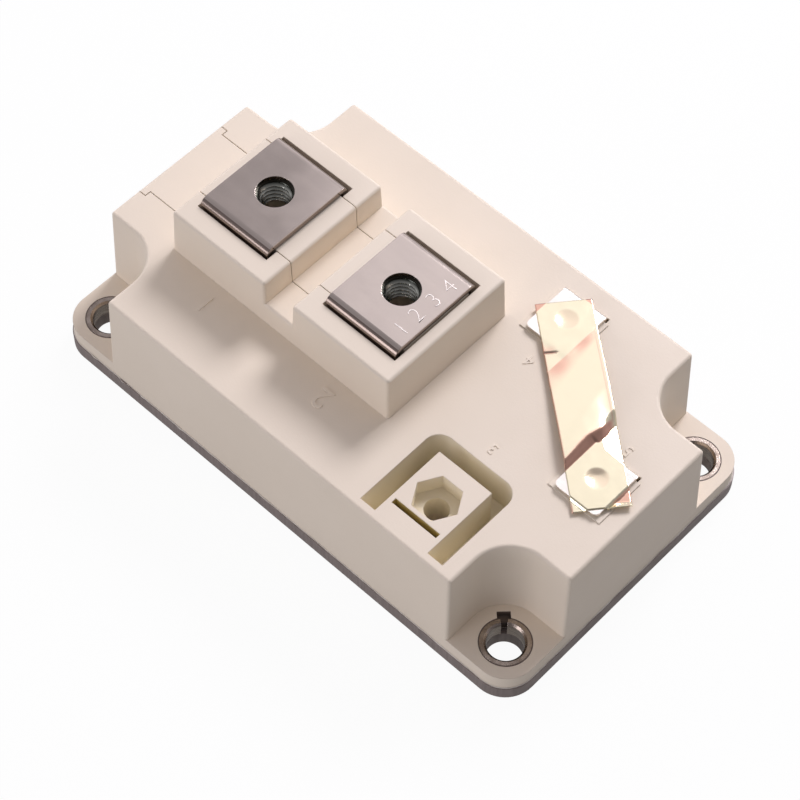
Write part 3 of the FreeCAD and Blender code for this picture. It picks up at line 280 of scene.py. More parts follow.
def within(tree, centre, half, mirrored):
    """1 inside a box around a centre in millimetres, 0 outside; mirrored repeats it in all quarters."""
    place = tree.nodes.new("ShaderNodeTexCoord").outputs["Object"]
    if mirrored:
        fold = tree.nodes.new("ShaderNodeVectorMath")
        fold.operation = "ABSOLUTE"
        tree.links.new(place, fold.inputs[0])
        place = fold.outputs["Vector"]
    away = tree.nodes.new("ShaderNodeVectorMath")
    away.operation = "SUBTRACT"
    away.inputs[1].default_value = Vector(centre) * MM
    tree.links.new(place, away.inputs[0])
    size = tree.nodes.new("ShaderNodeVectorMath")
    size.operation = "ABSOLUTE"
    tree.links.new(away.outputs["Vector"], size.inputs[0])
    split = tree.nodes.new("ShaderNodeSeparateXYZ")
    tree.links.new(size.outputs["Vector"], split.inputs["Vector"])
    inside_x, inside_y, inside_z = (
        binary_math(tree, "LESS_THAN", split.outputs[axis], reach * MM) for axis, reach in zip("XYZ", half)
    )
    return binary_math(tree, "MULTIPLY", binary_math(tree, "MULTIPLY", inside_x, inside_y), inside_z)


def near_holes(tree, reach):
    """1 within the given distance of a mounting hole's axis, 0 elsewhere."""
    place = tree.nodes.new("ShaderNodeTexCoord")
    fold = tree.nodes.new("ShaderNodeVectorMath")
    fold.operation = "ABSOLUTE"
    tree.links.new(place.outputs["Object"], fold.inputs[0])
    flat = tree.nodes.new("ShaderNodeVectorMath")
    flat.operation = "MULTIPLY"
    flat.inputs[1].default_value = (1.0, 1.0, 0.0)
    tree.links.new(fold.outputs["Vector"], flat.inputs[0])
    away = tree.nodes.new("ShaderNodeVectorMath")
    away.operation = "DISTANCE"
    away.inputs[1].default_value = Vector(MOUNTING_HOLE) * MM
    tree.links.new(flat.outputs["Vector"], away.inputs[0])
    return binary_math(tree, "LESS_THAN", away.outputs["Value"], reach * MM)


def tinted(tree, shader, factor, colour):
    """Mixes one more colour over the base colour where the factor says so."""
    below = shader.inputs["Base Color"].links[0].from_socket
    mix = tree.nodes.new("ShaderNodeMix")
    mix.data_type = "RGBA"
    mix.inputs["B"].default_value = (*colour, 1.0)
    tree.links.new(factor, mix.inputs["Factor"])
    tree.links.new(below, mix.inputs["A"])
    tree.links.new(mix.outputs["Result"], shader.inputs["Base Color"])


# Finishes
def moulded_plastic(name, light, dark, edge=0.22):
    """Cream PBT with a fine spark-eroded skin and faint clouds from the melt, with yellower painted bounce
    light in the trench and painted shade in the leg slot, the sleeve recess and the gaps round the
    sleeves.
    """
    made, tree, shader = start_material(name, light, 0.5)
    colours(tree, shader, grain(tree, 16.0, 3.0), [(0.3, dark), (0.7, light)])
    # painted bounce light: yellower, lighter cream on the trench walls
    tinted(tree, shader, within(tree, *TRENCH_DEEP, False), TRENCH_PAINTED_BOUNCE_LIGHT)
    # painted shade, tinted olive-yellow by painted bounce light, inside the leg slot
    tinted(tree, shader, within(tree, *LEG_SLOT_DEEP, False), LEG_SLOT_PAINTED_SHADE)
    # painted shade: dark brown inside the recess by each sleeve
    tinted(tree, shader, within(tree, *SLEEVE_RECESS, True), SLEEVE_RECESS_PAINTED_SHADE)
    # painted shade: a dark gap line round each sleeve, where the parts really touch
    tinted(tree, shader, near_holes(tree, SLEEVE_GAP), SLEEVE_GAP_PAINTED_SHADE)
    roughness_range(tree, shader, grain(tree, 5.0), 0.46, 0.58)
    relief(tree, shader, grain(tree, 0.35, 3.0), 0.012, edge)
    shader.inputs["IOR"].default_value = 1.5
    return made


def rolled_metal(
    name, light, dark, roughness, along=(1.0, 14.0, 1.0), size=6.0, depth=0.003, edge=0.12, metallic=1.0
):
    """Plated sheet with rolling marks along one axis."""
    made, tree, shader = start_material(name, light, roughness, metallic)
    colours(tree, shader, grain(tree, size, 4.0, along), [(0.3, dark), (0.7, light)])
    roughness_range(tree, shader, grain(tree, size * 0.4, 3.0), roughness * 0.8, roughness * 1.25)
    relief(tree, shader, grain(tree, size * 0.12, 3.0, along), depth, edge=edge)
    return made


def terminal_nickel():
    """Smooth nickel on the main terminals, with browner painted shade on the leg and the lip below the
    tab.
    """
    light, dark = (0.61, 0.535, 0.475), (0.575, 0.505, 0.45)
    made = rolled_metal(
        "main_terminal_nickel", light, dark, 0.17,
        along=(1.0, 4.0, 1.0), size=9.0, depth=0.001,
    )
    tree = made.node_tree
    # painted shade: browner nickel on the leg and the lip below the tab
    tinted(tree, tree.nodes["Principled BSDF"], within(tree, *BELOW_TAB, False), TERMINAL_LEG_PAINTED_SHADE)
    return made


def thread_steel():
    """Steel of the threaded nuts, bright on the crests, with painted shade nearly black down in the
    thread.
    """
    light, dark = (0.70, 0.72, 0.64), (0.52, 0.54, 0.47)
    made = rolled_metal(
        "nut_steel", light, dark, 0.24,
        along=(1.0, 1.0, 3.0), size=1.5, depth=0.006, edge=0.05,
    )
    tree = made.node_tree
    depth = tree.nodes.new("ShaderNodeAttribute")
    depth.attribute_name = "depth"
    # painted shade: nearly black towards the roots of the thread
    tinted(tree, tree.nodes["Principled BSDF"], depth.outputs["Fac"], THREAD_PAINTED_SHADE)
    return made


def copper_foil():
    """Thin bright copper, with redder and darker painted shade where it is creased and on its slopes, rims
    and dimples.
    """
    made, tree, shader = start_material("copper_foil", FOIL_BRIGHT, 0.16, 1.0)
    # the attribute carries painted shade: pink and dark reflections drawn into the copper's colour
    foil_painted_shade = tree.nodes.new("ShaderNodeAttribute")
    foil_painted_shade.attribute_name = "foil_painted_shade"
    colours(tree, shader, foil_painted_shade.outputs["Fac"], [(0.0, FOIL_BRIGHT), (0.5, FOIL_PAINTED_SHADE_PINK), (1.0, FOIL_PAINTED_SHADE_DARK)])
    roughness_range(tree, shader, grain(tree, 2.5, 3.0), 0.13, 0.18)
    relief(tree, shader, grain(tree, 1.4, 3.0), 0.008)
    return made


def soft_rubber(name, light, dark, roughness):
    made, tree, shader = start_material(name, light, roughness)
    colours(tree, shader, grain(tree, 2.0, 3.0), [(0.3, dark), (0.7, light)])
    relief(tree, shader, grain(tree, 0.8, 2.0), 0.02)
    return made


def clear_gel():
    made, tree, shader = start_material("gel_silicone", (0.9, 0.92, 0.92), 0.06)
    colours(tree, shader, grain(tree, 12.0, 2.0), [(0.3, (0.86, 0.89, 0.89)), (0.7, (0.94, 0.96, 0.95))])
    relief(tree, shader, grain(tree, 6.0, 2.0), 0.03)
    shader.inputs["Transmission Weight"].default_value = 0.85
    shader.inputs["IOR"].default_value = 1.41
    return made


def speckled(name, light, dark, roughness, size=1.2, metallic=0.0):
    """Ceramic or chip surface with a fine even speckle."""
    made, tree, shader = start_material(name, light, roughness, metallic)
    colours(tree, shader, grain(tree, size, 4.0), [(0.35, dark), (0.65, light)])
    relief(tree, shader, grain(tree, size * 0.5, 2.0), 0.004)
    return made


FINISHES = {
    "housing_plastic": moulded_plastic("housing_plastic", (0.885, 0.785, 0.645), (0.86, 0.76, 0.62)),
    "carrier_plastic": moulded_plastic("carrier_plastic", (0.895, 0.795, 0.655), (0.87, 0.77, 0.63)),
    "digit_plastic": moulded_plastic("digit_plastic", (0.90, 0.80, 0.66), (0.88, 0.78, 0.64), 0.03),
    "base_plate_nickel": rolled_metal(
        "base_plate_nickel", (0.35, 0.295, 0.275), (0.27, 0.225, 0.21), 0.48,
        along=(14.0, 1.0, 1.0), metallic=0.5,
    ),
    "sleeve_steel": rolled_metal(
        "sleeve_steel", (0.50, 0.43, 0.37), (0.27, 0.22, 0.18), 0.24,
        along=(1.0, 1.0, 10.0), size=2.0, depth=0.01,
    ),
    "main_terminal_nickel": terminal_nickel(),
    "stamped_mark": rolled_metal("stamped_mark", (0.78, 0.73, 0.68), (0.70, 0.65, 0.60), 0.4, edge=0.0),
    "aux_terminal_tin": rolled_metal("aux_terminal_tin", (0.95, 0.90, 0.82), (0.89, 0.84, 0.77), 0.2),
    "nut_steel": thread_steel(),
    "copper_foil": copper_foil(),
    "tile_copper": rolled_metal("tile_copper", (0.86, 0.52, 0.36), (0.68, 0.38, 0.26), 0.36),
    "adhesive_silicone": soft_rubber("adhesive_silicone", (0.80, 0.77, 0.70), (0.68, 0.64, 0.57), 0.45),
    "gel_silicone": clear_gel(),
    "ceramic_white": speckled("ceramic_white", (0.88, 0.87, 0.84), (0.82, 0.81, 0.78), 0.5),
    "chip_silicon": speckled("chip_silicon", (0.34, 0.34, 0.37), (0.24, 0.24, 0.28), 0.3, 0.8, 0.4),
    "bond_aluminium": rolled_metal(
        "bond_aluminium", (0.82, 0.82, 0.83), (0.68, 0.68, 0.70), 0.32,
        along=(1.0, 1.0, 1.0), size=1.0, depth=0.004, edge=0.0,
    ),
}


def finish_nodes():
    """Puts each solid's finish on the slots of its node."""
    for part in frame["record"]["subparts"]:
        for place in frame["nodes"][part["node"]].material_slots:
            place.material = FINISHES[part["material_slot"]]


# Pieces
def add_piece(name, mesh, slot, replaced=()):
    """Links a mesh as a piece that rides with the module, and hides the solids it stands for."""
    piece = bpy.data.objects.new(name, mesh)
    bpy.context.scene.collection.objects.link(piece)
    mesh.materials.append(FINISHES[slot])
    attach(piece, "root")
    if replaced:
        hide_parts(*replaced)
    return piece


def ramp_up(value, start, end):
    """Smooth step from 0 at start to 1 at end."""
    t = min(max((value - start) / (end - start), 0.0), 1.0)
    return t * t * (3.0 - 2.0 * t)


def steady_ramp(value, start, end):
    """Even slope from 0 at start to 1 at end, eased over the first and last fifth."""
    t = min(max((value - start) / (end - start), 0.0), 1.0)
    if t < 0.2:
        return 3.125 * t * t
    if t > 0.8:
        return 1.0 - 3.125 * (1.0 - t) ** 2
    return 1.25 * (t - 0.1)


def past_edges(x, y, hole):
    """How far a spot lies past the -X, +X, front and back edges of an auxiliary tab."""
    left, right = hole[0] - TAB_HALF_WIDTH - x, x - hole[0] - TAB_HALF_WIDTH
    return left, right, hole[1] - TAB_REACH[0] - y, y - hole[1] - TAB_REACH[1]


def beside(edges):
    """Distance from a tab's outline, zero on the tab."""
    return math.hypot(max(edges[0], edges[1], 0.0), max(edges[2], edges[3], 0.0))


def foil_arch(x, y, side, behind_sense):
    """Height of the arch, how far it has risen and fallen, and where its steep fall starts and ends."""
    right_half = ramp_up(side, -0.2, 0.95)
    crest = CREST - CREST_SKEW * side
    brow = BROW + BROW_WAVE * math.sin(1.1 * y) + BROW_SHIFT_RIGHT * right_half
    brow += BROW_SHIFT_LEFT * ramp_up(-side, 0.4, 1.0)
    foot = FOOT + FOOT_SHIFT_BEHIND * ramp_up(behind_sense, -0.1, 0.5)
    foot -= FOOT_SHIFT_REAR * ramp_up(y, 7.2, 8.8)
    rise = steady_ramp(x, RISE_START, crest)
    fall = ramp_up(x, brow, foot)
    lean = LEAN * ARCH_HEIGHT * right_half * steady_ramp(x, *LEAN_SPAN)
    swell = BAND_SWELL * ramp_up(x, SWELL_START, brow + 0.3) * (1.0 - ramp_up(side, 0.3, 0.8))
    height = (rise * (ARCH_HEIGHT - lean) + swell) * (1.0 - fall)
    return height, rise, fall, brow, foot


def foil_drop(x, y, gate, sense_edges, rise, fall):
    """How far the foil hangs beside the gate tab, on the facet behind the other tab and past its ends."""
    near_gate = ramp_up(gate, 0.0, 1.2) * (1.0 - rise)
    past = FACET_HEADING[0] * (x - FACET_CORNER[0]) + FACET_HEADING[1] * (y - FACET_CORNER[1])
    facet = min(FACET_SLOPE * max(past, 0.0), FACET_DROP)
    facet *= ramp_up(max(sense_edges[3], 0.0), 0.0, 0.3) * ramp_up(x, *FACET_START)
    ends = END_DROP * ramp_up(max(sense_edges[1], sense_edges[2]), 0.0, 0.4)
    return EDGE_DROP * near_gate + max(facet, ends * fall)


def foil_fold(along, side):
    """Sharp fold across the left half of the strip, 1 in its valley."""
    away = (along - FOLD_PLACE - FOLD_SKEW * side) / FOLD_WIDTH
    return math.exp(-away ** 2) * ramp_up(-side, *FOLD_SPAN)


def foil_dimples(x, y):
    """Depth of the hollows pressed into both screw holes, and how strongly the spot is pressed."""
    depth, pressed = 0.0, 0.0
    for hole in (GATE_HOLE, SENSE_HOLE):
        radius = math.hypot(x - hole[0], y - hole[1]) / DIMPLE_RADIUS
        hollow = max(1.0 - radius ** 2, 0.0)
        depth += DIMPLE_DEPTH * hollow ** 1.5
        pressed = max(pressed, ramp_up(hollow, 0.0, 0.35))
    return depth, pressed


def foil_ripple(x, y, side, off_tab):
    """Turned rims and waviness where no tab carries the foil, and a finer waviness everywhere."""
    rims = RIM_RIDGE * ramp_up(side, 0.84, 0.93)
    rims -= RIM_DROP_RIGHT * ramp_up(side, 0.96, 1.0) + RIM_DROP_LEFT * ramp_up(-side, 0.96, 1.0)
    wavy = WAVINESS * noise.noise(Vector((x * 0.3, y * 0.3, 3.0)))
    return off_tab * (rims + wavy) + FINE_WAVINESS * noise.noise(Vector((x * 1.1, y * 1.1, 5.0)))


def foil_corners(along, gate_edges, sense_edges):
    """How much painted shade the corners that stick out past the tabs get."""
    by_gate = max(ramp_up(gate_edges[0], 0.0, 0.2), ramp_up(gate_edges[3], 0.0, 0.2))
    by_sense = ramp_up(sense_edges[1], 0.0, 0.2) * (1.0 - ramp_up(along, *SENSE_CORNER_SPAN))
    return max(GATE_CORNER_PAINTED_SHADE * by_gate, SENSE_CORNER_PAINTED_SHADE * by_sense)


def foil_soft_painted_shade(x, y, along, side, gate_edges, behind):
    """How much painted shade the soft creases get: beside the gate tab, at the rear of the other tab,
    round the fold.
    """
    crease_end = CREASE_SPAN[1] - CREASE_SKEW * side
    foil_painted_shade = ramp_up(gate_edges[1], 0.0, 0.3) * (1.0 - ramp_up(x, CREASE_SPAN[0], crease_end))
    foil_painted_shade *= 0.4 + 0.6 * math.cos(0.5 * (y - CREASE_MIDDLE)) ** 2
    rear = ramp_up(behind, 0.1, 0.5) * ramp_up(x, *REAR_SPAN)
    halo = math.exp(-((along - FOLD_PLACE + 0.6) / FOLD_HALO_WIDTH) ** 2) * ramp_up(-side, 0.45, 0.8)
    return max(CREASE_PAINTED_SHADE * foil_painted_shade, REAR_PAINTED_SHADE * rear, FOLD_HALO_PAINTED_SHADE * halo)


def foil_shape(x, y, along, side):
    """Height of the foil's underside and how much painted shade it gets, from the place on the module and
    on the strip.
    """
    gate_edges, sense_edges = past_edges(x, y, GATE_HOLE), past_edges(x, y, SENSE_HOLE)
    gate, sense = beside(gate_edges), beside(sense_edges)
    behind = max(sense_edges[3], 0.0)
    off_tab = min(ramp_up(gate, 0.0, 1.5), ramp_up(sense, 0.0, 1.5))
    arch, rise, fall, brow, foot = foil_arch(x, y, side, sense_edges[3])
    fold = foil_fold(along, side)
    hollow, pressed = foil_dimples(x, y)
    height = arch - foil_drop(x, y, gate, sense_edges, rise, fall) - FOLD_DEPTH * fold - hollow
    height += foil_ripple(x, y, side, off_tab)
    height += CURL_HEIGHT * ramp_up(along, *CURL_SPAN) * ramp_up(sense_edges[1], 0.2, 1.2)
    # painted shade on the steep fall, the corners, the soft creases, the fold, the rims and the dimples
    steep = ramp_up(x, brow - 0.35, brow + 0.3) * (1.0 - ramp_up(x, foot - 0.1, foot + 0.1))
    steep *= 1.0 - ramp_up(side, 0.7, 0.95)
    right_rim = math.exp(-((side - 0.87) / 0.025) ** 2)
    rims = off_tab * max(RIM_PAINTED_SHADE_LEFT * ramp_up(-side, 0.95, 0.98), RIM_PAINTED_SHADE_RIGHT * right_rim)
    corners = foil_corners(along, gate_edges, sense_edges)
    soft_shade = foil_soft_painted_shade(x, y, along, side, gate_edges, behind)
    return FOIL_LEVEL + height, max(STEEP_PAINTED_SHADE * steep, corners, soft_shade, fold, rims, DIMPLE_PAINTED_SHADE * pressed)


def foil_grid(length, along, across):
    """Flat grid of the strip with slightly ragged long edges."""
    grid = bmesh.new()
    rings = []
    for i in range(FOIL_STEPS + 1):
        s = -FOIL_ENDS[0] + length * i / FOIL_STEPS
        line = []
        for j in range(FOIL_ROWS + 1):
            side = 2.0 * j / FOIL_ROWS - 1.0
            ragged = EDGE_RAGGEDNESS * noise.noise(Vector((s * 0.6, side * 3.0, 1.0)))
            off_line = side * FOIL_WIDTH / 2 + ragged * abs(side)
            spot = Vector(GATE_HOLE) + along * s + across * off_line
            line.append(grid.verts.new((spot.x, spot.y, 0.0)))
        rings.append(line)
    for first, second in zip(rings, rings[1:]):
        for j in range(FOIL_ROWS):
            grid.faces.new((first[j], second[j], second[j + 1], first[j + 1]))
    return grid


def cut_along_tabs(grid):
    """Cuts the grid along the tabs' edges and where the bends over them end."""
    for hole in (GATE_HOLE, SENSE_HOLE):
        for past in (0.0, BEND_WIDTH):
            left, right = hole[0] - TAB_HALF_WIDTH - past, hole[0] + TAB_HALF_WIDTH + past
            front, rear = hole[1] - TAB_REACH[0] - past, hole[1] + TAB_REACH[1] + past
            cuts = [((x, 0.0, 0.0), (1.0, 0.0, 0.0)) for x in (left, right)]
            cuts += [((0.0, y, 0.0), (0.0, 1.0, 0.0)) for y in (front, rear)]
            for spot, normal in cuts:
                everything = grid.verts[:] + grid.edges[:] + grid.faces[:]
                bmesh.ops.bisect_plane(grid, geom=everything, dist=1e-5, plane_co=spot, plane_no=normal)
    bmesh.ops.remove_doubles(grid, verts=grid.verts, dist=SMALLEST_FACE)
    bmesh.ops.triangulate(grid, faces=grid.faces)


def make_foil():
    """Copper foil draped over both auxiliary tabs, pressed into their holes and arched between them."""
    run = Vector(SENSE_HOLE) - Vector(GATE_HOLE)
    along = run.normalized()
    across = Vector((-along.y, along.x))
    grid = foil_grid(run.length + sum(FOIL_ENDS), along, across)
    cut_along_tabs(grid)
    layer = grid.verts.layers.float.new("foil_painted_shade")
    for vertex in grid.verts:
        place = Vector((vertex.co.x, vertex.co.y)) - Vector(GATE_HOLE)
        side = place.dot(across) / (FOIL_WIDTH / 2)
        height, foil_shade_amount = foil_shape(vertex.co.x, vertex.co.y, place.dot(along), side)
        vertex.co = Vector((vertex.co.x, vertex.co.y, height)) * MM
        # painted shade amount, stored for the copper's colour ramp
        vertex[layer] = foil_shade_amount
    for face in grid.faces:
        face.smooth = True
    mesh = bpy.data.meshes.new("copper_foil_strip")
    grid.to_mesh(mesh)
    grid.free()
    piece = add_piece("copper_foil_strip", mesh, "copper_foil", ["shorting_strip"])
    skin = piece.modifiers.new("thickness", "SOLIDIFY")
    skin.thickness = FOIL_THICKNESS * MM
    skin.offset = 1.0


def make_threaded_nut(number):
    """M6 nut whose bore carries a real helical thread."""
    low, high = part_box(f"main_nut_{number}")
    middle = (low + high) / 2
    bottom, top = low.z, high.z
    flats = min(high.x - low.x, high.y - low.y) / 2
    turn_to_flat = 0.0 if high.x - low.x > high.y - low.y else math.pi / 6
    pitch, inner, outer = THREAD_PITCH * MM, THREAD_INNER * MM, THREAD_OUTER * MM
    nut = bmesh.new()
    layer = nut.verts.layers.float.new("depth")

    def ring(radius_at, z_at):
        made = []
        for k in range(NUT_SIDES):
            angle = 2 * math.pi * k / NUT_SIDES
            radius = radius_at(angle)
            x = middle.x + radius * math.cos(angle)
            y = middle.y + radius * math.sin(angle)
            made.append(nut.verts.new((x, y, z_at(angle))))
        return made

    def hexagon(angle):
        from_flat = (angle - turn_to_flat) % (math.pi / 3) - math.pi / 6
        return flats / math.cos(from_flat)

    def chamfer(angle):
        return (hexagon(angle) - flats) * math.tan(math.radians(30))

    def thread(z):
        def radius(angle):
            phase = ((z - bottom) / pitch - angle / (2 * math.pi)) % 1.0
            wave = 1.0 - abs(2.0 * phase - 1.0)
            lead = max(0.0, 1.0 - min(z - bottom, top - z) / (THREAD_LEAD_IN * MM))
            cut = min(max(1.35 * wave - 0.2, 0.0), 1.0)
            return inner + (outer - inner) * max(cut, lead)
        return radius

    rings = [
        ring(lambda angle: flats * NUT_CHAMFER, lambda angle: top),
        ring(hexagon, lambda angle: top - chamfer(angle)),
        ring(hexagon, lambda angle: bottom + chamfer(angle)),
        ring(lambda angle: flats * NUT_CHAMFER, lambda angle: bottom),
    ]
    outer_rings = len(rings)
    for level in range(NUT_LEVELS + 1):
        z = bottom + (top - bottom) * level / NUT_LEVELS
        rings.append(ring(thread(z), lambda angle, z=z: z))
    for line in rings[outer_rings:]:
        # how deep into the thread each point lies, which sets its painted shade
        for vertex in line:
            reach = math.hypot(vertex.co.x - middle.x, vertex.co.y - middle.y)
            vertex[layer] = min(max((reach - inner) / (outer - inner), 0.0), 1.0)
    for first, second in zip(rings, rings[1:] + rings[:1]):
        for k in range(NUT_SIDES):
            following = (k + 1) % NUT_SIDES
            nut.faces.new((first[k], second[k], second[following], first[following]))
    bmesh.ops.recalc_face_normals(nut, faces=nut.faces)
    mesh = bpy.data.meshes.new(f"threaded_nut_{number}")
    nut.to_mesh(mesh)
    nut.free()
    add_piece(f"threaded_nut_{number}", mesh, "nut_steel", [f"main_nut_{number}"])


def make_digit(name, text, place, height, turn, slot, rise, thinner):
    """One raised digit, its foot sunk a little into the surface that carries it."""
    curve = bpy.data.curves.new(name, "FONT")
    curve.body = text
    curve.size = height * FONT_SIZE_PER_HEIGHT * MM
    curve.align_x = "CENTER"
    curve.align_y = "CENTER"
    curve.offset = -thinner * MM
    curve.extrude = rise * MM
    curve.bevel_depth = DIGIT_EDGE * MM
    curve.resolution_u = 6
    source = bpy.data.objects.new(name, curve)
    bpy.context.scene.collection.objects.link(source)
    bpy.context.view_layer.update()
    evaluated = source.evaluated_get(bpy.context.evaluated_depsgraph_get())
    mesh = bpy.data.meshes.new_from_object(evaluated)
    bpy.data.objects.remove(source)
    bpy.data.curves.remove(curve)
    mesh.transform(Matrix.Translation(Vector(place) * MM) @ Matrix.Rotation(turn, 4, "Z"))
    mesh.materials.clear()
    add_piece(name, mesh, slot)


def make_digits():
    """Terminal numbers moulded on the deck, and plain digits stamped into the second main terminal."""
    for text, (x, y, height) in MOULDED_DIGITS.items():
        name, place = f"moulded_digit_{text}", (x, y, DECK)
        make_digit(name, text, place, height, math.pi, "digit_plastic", rise=MOULDED_RISE, thinner=0.0)
    for text, y in STAMPED_DIGITS.items():
        name, place = f"stamped_digit_{text}", (STAMP_X, y, TAB_TOP)
        make_digit(
            name, text, place, STAMPED_HEIGHT, math.pi / 2, "stamped_mark",
            rise=STAMPED_RISE, thinner=STAMPED_THINNING,
        )


def rounded_outline(half_x, half_y, radius):
    """Points along a rectangle with rounded corners, never further apart than the seam's step."""
    corners = []
    for sign_x, sign_y, start in ((1, 1, 0), (-1, 1, 90), (-1, -1, 180), (1, -1, 270)):
        for turned in range(0, 91, CORNER_TURN):
            angle = math.radians(start + turned)
            x = sign_x * (half_x - radius) + radius * math.cos(angle)
            y = sign_y * (half_y - radius) + radius * math.sin(angle)
            corners.append(Vector((x, y)))
    dense = []
    for first, second in zip(corners, corners[1:] + corners[:1]):
        count = max(1, round((second - first).length / SEAM_STEP))
        dense += [first.lerp(second, k / count) for k in range(count)]
    return dense


def seam_size(spot):
    """Radius of the bead at a spot of the seam, and how much it sags there."""
    coarse = noise.noise(Vector((spot.x * 0.21, spot.y * 0.21, 0.0)))
    fine = noise.noise(Vector((spot.x, spot.y, 4.0)))
    lump = noise.noise(Vector((spot.x * 0.35, spot.y * 0.35, 7.0)))
    sag = max(0.0, lump - SAG_THRESHOLD) * (0.2 + 0.9 * ramp_up(-spot.x, 10.0, 30.0))
    return SEAM_RADIUS + 0.09 * coarse + 0.04 * fine, sag


def make_adhesive_seam():
    """Adhesive pressed out of the joint, in a thin uneven bead with a few sags over the plate's edge."""
    _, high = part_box("baseplate")
    half_x, half_y = high.x / MM - SEAM_INSET, high.y / MM - SEAM_INSET
    outline = rounded_outline(half_x, half_y, PLATE_CORNER - SEAM_INSET)
    seam = bmesh.new()
    rings = []
    for index, spot in enumerate(outline):
        heading = (outline[(index + 1) % len(outline)] - outline[index - 1]).normalized()
        outward = Vector((heading.y, -heading.x))
        swell, sag = seam_size(spot)
        centre = spot + outward * (SEAM_OUT + SAG_OUT * min(sag, 0.6))
        level = high.z / MM + SEAM_LIFT - SAG_DROP * sag
        line = []
        for k in range(SEAM_SIDES):
            angle = 2 * math.pi * k / SEAM_SIDES
            offset = outward * (swell * (1.0 + sag) * math.cos(angle))
            z = level + swell * (0.8 + 1.2 * sag) * math.sin(angle)
            line.append(seam.verts.new(((centre.x + offset.x) * MM, (centre.y + offset.y) * MM, z * MM)))
        rings.append(line)
    for first, second in zip(rings, rings[1:] + rings[:1]):
        for k in range(SEAM_SIDES):
            following = (k + 1) % SEAM_SIDES
            seam.faces.new((first[k], second[k], second[following], first[following]))
    bmesh.ops.recalc_face_normals(seam, faces=seam.faces)
    for face in seam.faces:
        face.smooth = True
    mesh = bpy.data.meshes.new("adhesive_squeeze_out")
    seam.to_mesh(mesh)
    seam.free()
    add_piece("adhesive_squeeze_out", mesh, "adhesive_silicone")


# Studio
def map_range(tree, source, low, high):
    """Turns the range 0 to 1 of a socket into another one."""
    spread = tree.nodes.new("ShaderNodeMapRange")
    spread.inputs["To Min"].default_value = low
    spread.inputs["To Max"].default_value = high
    tree.links.new(source, spread.inputs["Value"])
    return spread.outputs["Result"]


def floor_finish():
    """Pale floor, white to the camera with part of the shadow kept, greyer in the light it returns."""
    made, tree, shader = start_material("studio_floor", FLOOR_WHITE, 0.9)
    path = tree.nodes.new("ShaderNodeLightPath")
    seen = path.outputs["Is Camera Ray"]
    colours(tree, shader, seen, [(0.0, FLOOR_GREY), (1.0, FLOOR_WHITE)])
    glow = tree.nodes.new("ShaderNodeEmission")
    mix = tree.nodes.new("ShaderNodeMixShader")
    tree.links.new(map_range(tree, seen, *FLOOR_GLOW), mix.inputs["Fac"])
    tree.links.new(shader.outputs["BSDF"], mix.inputs[1])
    tree.links.new(glow.outputs["Emission"], mix.inputs[2])
    tree.links.new(mix.outputs["Shader"], tree.nodes["Material Output"].inputs["Surface"])
    return made


def make_floor():
    """Square floor just under the base plate."""
    sheet = bmesh.new()
    bmesh.ops.create_grid(sheet, x_segments=8, y_segments=8, size=FLOOR_SIZE)
    mesh = bpy.data.meshes.new("studio_floor")
    sheet.to_mesh(mesh)
    sheet.free()
    floor = bpy.data.objects.new("studio_floor", mesh)
    bpy.context.scene.collection.objects.link(floor)
    floor.location.z = FLOOR_LEVEL * MM
    mesh.materials.append(floor_finish())


def make_world():
    """White behind the object; for its light a soft room, darker above and on the near right."""
    world = bpy.data.worlds.new("studio_world")
    bpy.context.scene.world = world
    world.use_nodes = True
    tree = world.node_tree
    place = tree.nodes.new("ShaderNodeTexCoord")
    dark_side = tree.nodes.new("ShaderNodeVectorMath")
    dark_side.operation = "DOT_PRODUCT"
    angle = math.radians(DARK_SIDE)
    dark_side.inputs[1].default_value = (math.cos(angle) / 2, math.sin(angle) / 2, 0.0)
    tree.links.new(place.outputs["Generated"], dark_side.inputs[0])
    towards_dark = binary_math(tree, "ADD", dark_side.outputs["Value"], 0.5)
    split = tree.nodes.new("ShaderNodeSeparateXYZ")
    tree.links.new(place.outputs["Generated"], split.inputs["Vector"])
    by_side = map_range(tree, towards_dark, *SKY_SIDES)
    by_height = map_range(tree, split.outputs["Z"], *SKY_RISE)
    path = tree.nodes.new("ShaderNodeLightPath")
    mix = tree.nodes.new("ShaderNodeMix")
    mix.inputs["B"].default_value = 1.0 / min(ROOM_TINT)
    tree.links.new(binary_math(tree, "MULTIPLY", by_side, by_height), mix.inputs["A"])
    tree.links.new(path.outputs["Is Camera Ray"], mix.inputs["Factor"])
    background = tree.nodes["Background"]
    tree.links.new(mix.outputs["Result"], background.inputs["Strength"])
    background.inputs["Color"].default_value = (*ROOM_TINT, 1.0)


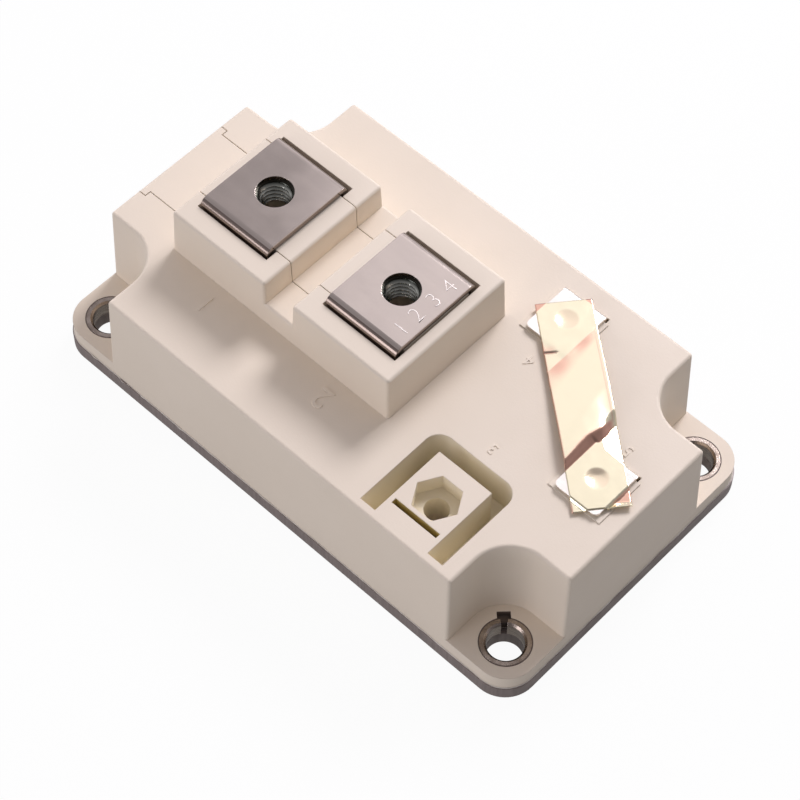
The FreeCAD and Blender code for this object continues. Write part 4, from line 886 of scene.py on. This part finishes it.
def make_lamp(name, azimuth, elevation, distance, size, power):
    """Soft disc lamp that faces the object; angles in degrees, lengths in metres, power in watts."""
    data = bpy.data.lights.new(name, "AREA")
    data.shape = "DISK"
    data.size = size
    data.energy = power
    data.color = LAMP_TINT
    lamp = bpy.data.objects.new(name, data)
    bpy.context.scene.collection.objects.link(lamp)
    around, up = math.radians(azimuth), math.radians(elevation)
    away = Vector((math.cos(up) * math.cos(around), math.cos(up) * math.sin(around), math.sin(up)))
    lamp.location = away * distance
    lamp.rotation_mode = "QUATERNION"
    lamp.rotation_quaternion = away.to_track_quat("Z", "Y")


def make_camera():
    """Camera at the place and with the turn and lens that the photograph was taken with."""
    data = bpy.data.cameras.new("photo_camera")
    data.sensor_width = CAMERA_SENSOR
    data.lens = CAMERA_LENS
    data.clip_start = 0.02
    data.clip_end = 20.0
    azimuth, elevation, roll = (math.radians(angle) for angle in CAMERA_ANGLES)
    flat = math.cos(elevation)
    forward = Vector((flat * math.cos(azimuth), flat * math.sin(azimuth), math.sin(elevation)))
    right = forward.cross(Vector((0.0, 0.0, 1.0))).normalized()
    up = right.cross(forward)
    rolled_right = right * math.cos(roll) + up * math.sin(roll)
    rolled_up = up * math.cos(roll) - right * math.sin(roll)
    turned = Matrix((rolled_right, rolled_up, -forward)).transposed().to_4x4()
    camera = bpy.data.objects.new("photo_camera", data)
    bpy.context.scene.collection.objects.link(camera)
    camera.matrix_world = Matrix.Translation(Vector(CAMERA_PLACE) * MM) @ turned
    bpy.context.scene.camera = camera


finish_nodes()
make_foil()
make_threaded_nut(1)
make_threaded_nut(2)
make_digits()
make_adhesive_seam()
make_floor()
make_world()
make_lamp("key_softbox", azimuth=97, elevation=43, distance=0.9, size=0.36, power=5.4)
make_lamp("near_panel", azimuth=113, elevation=58, distance=0.22, size=0.125, power=0.0228)
make_lamp("front_fill", azimuth=-102, elevation=12, distance=1.3, size=0.8, power=5.0)
make_camera()
bpy.context.scene.view_settings.view_transform = "Standard"
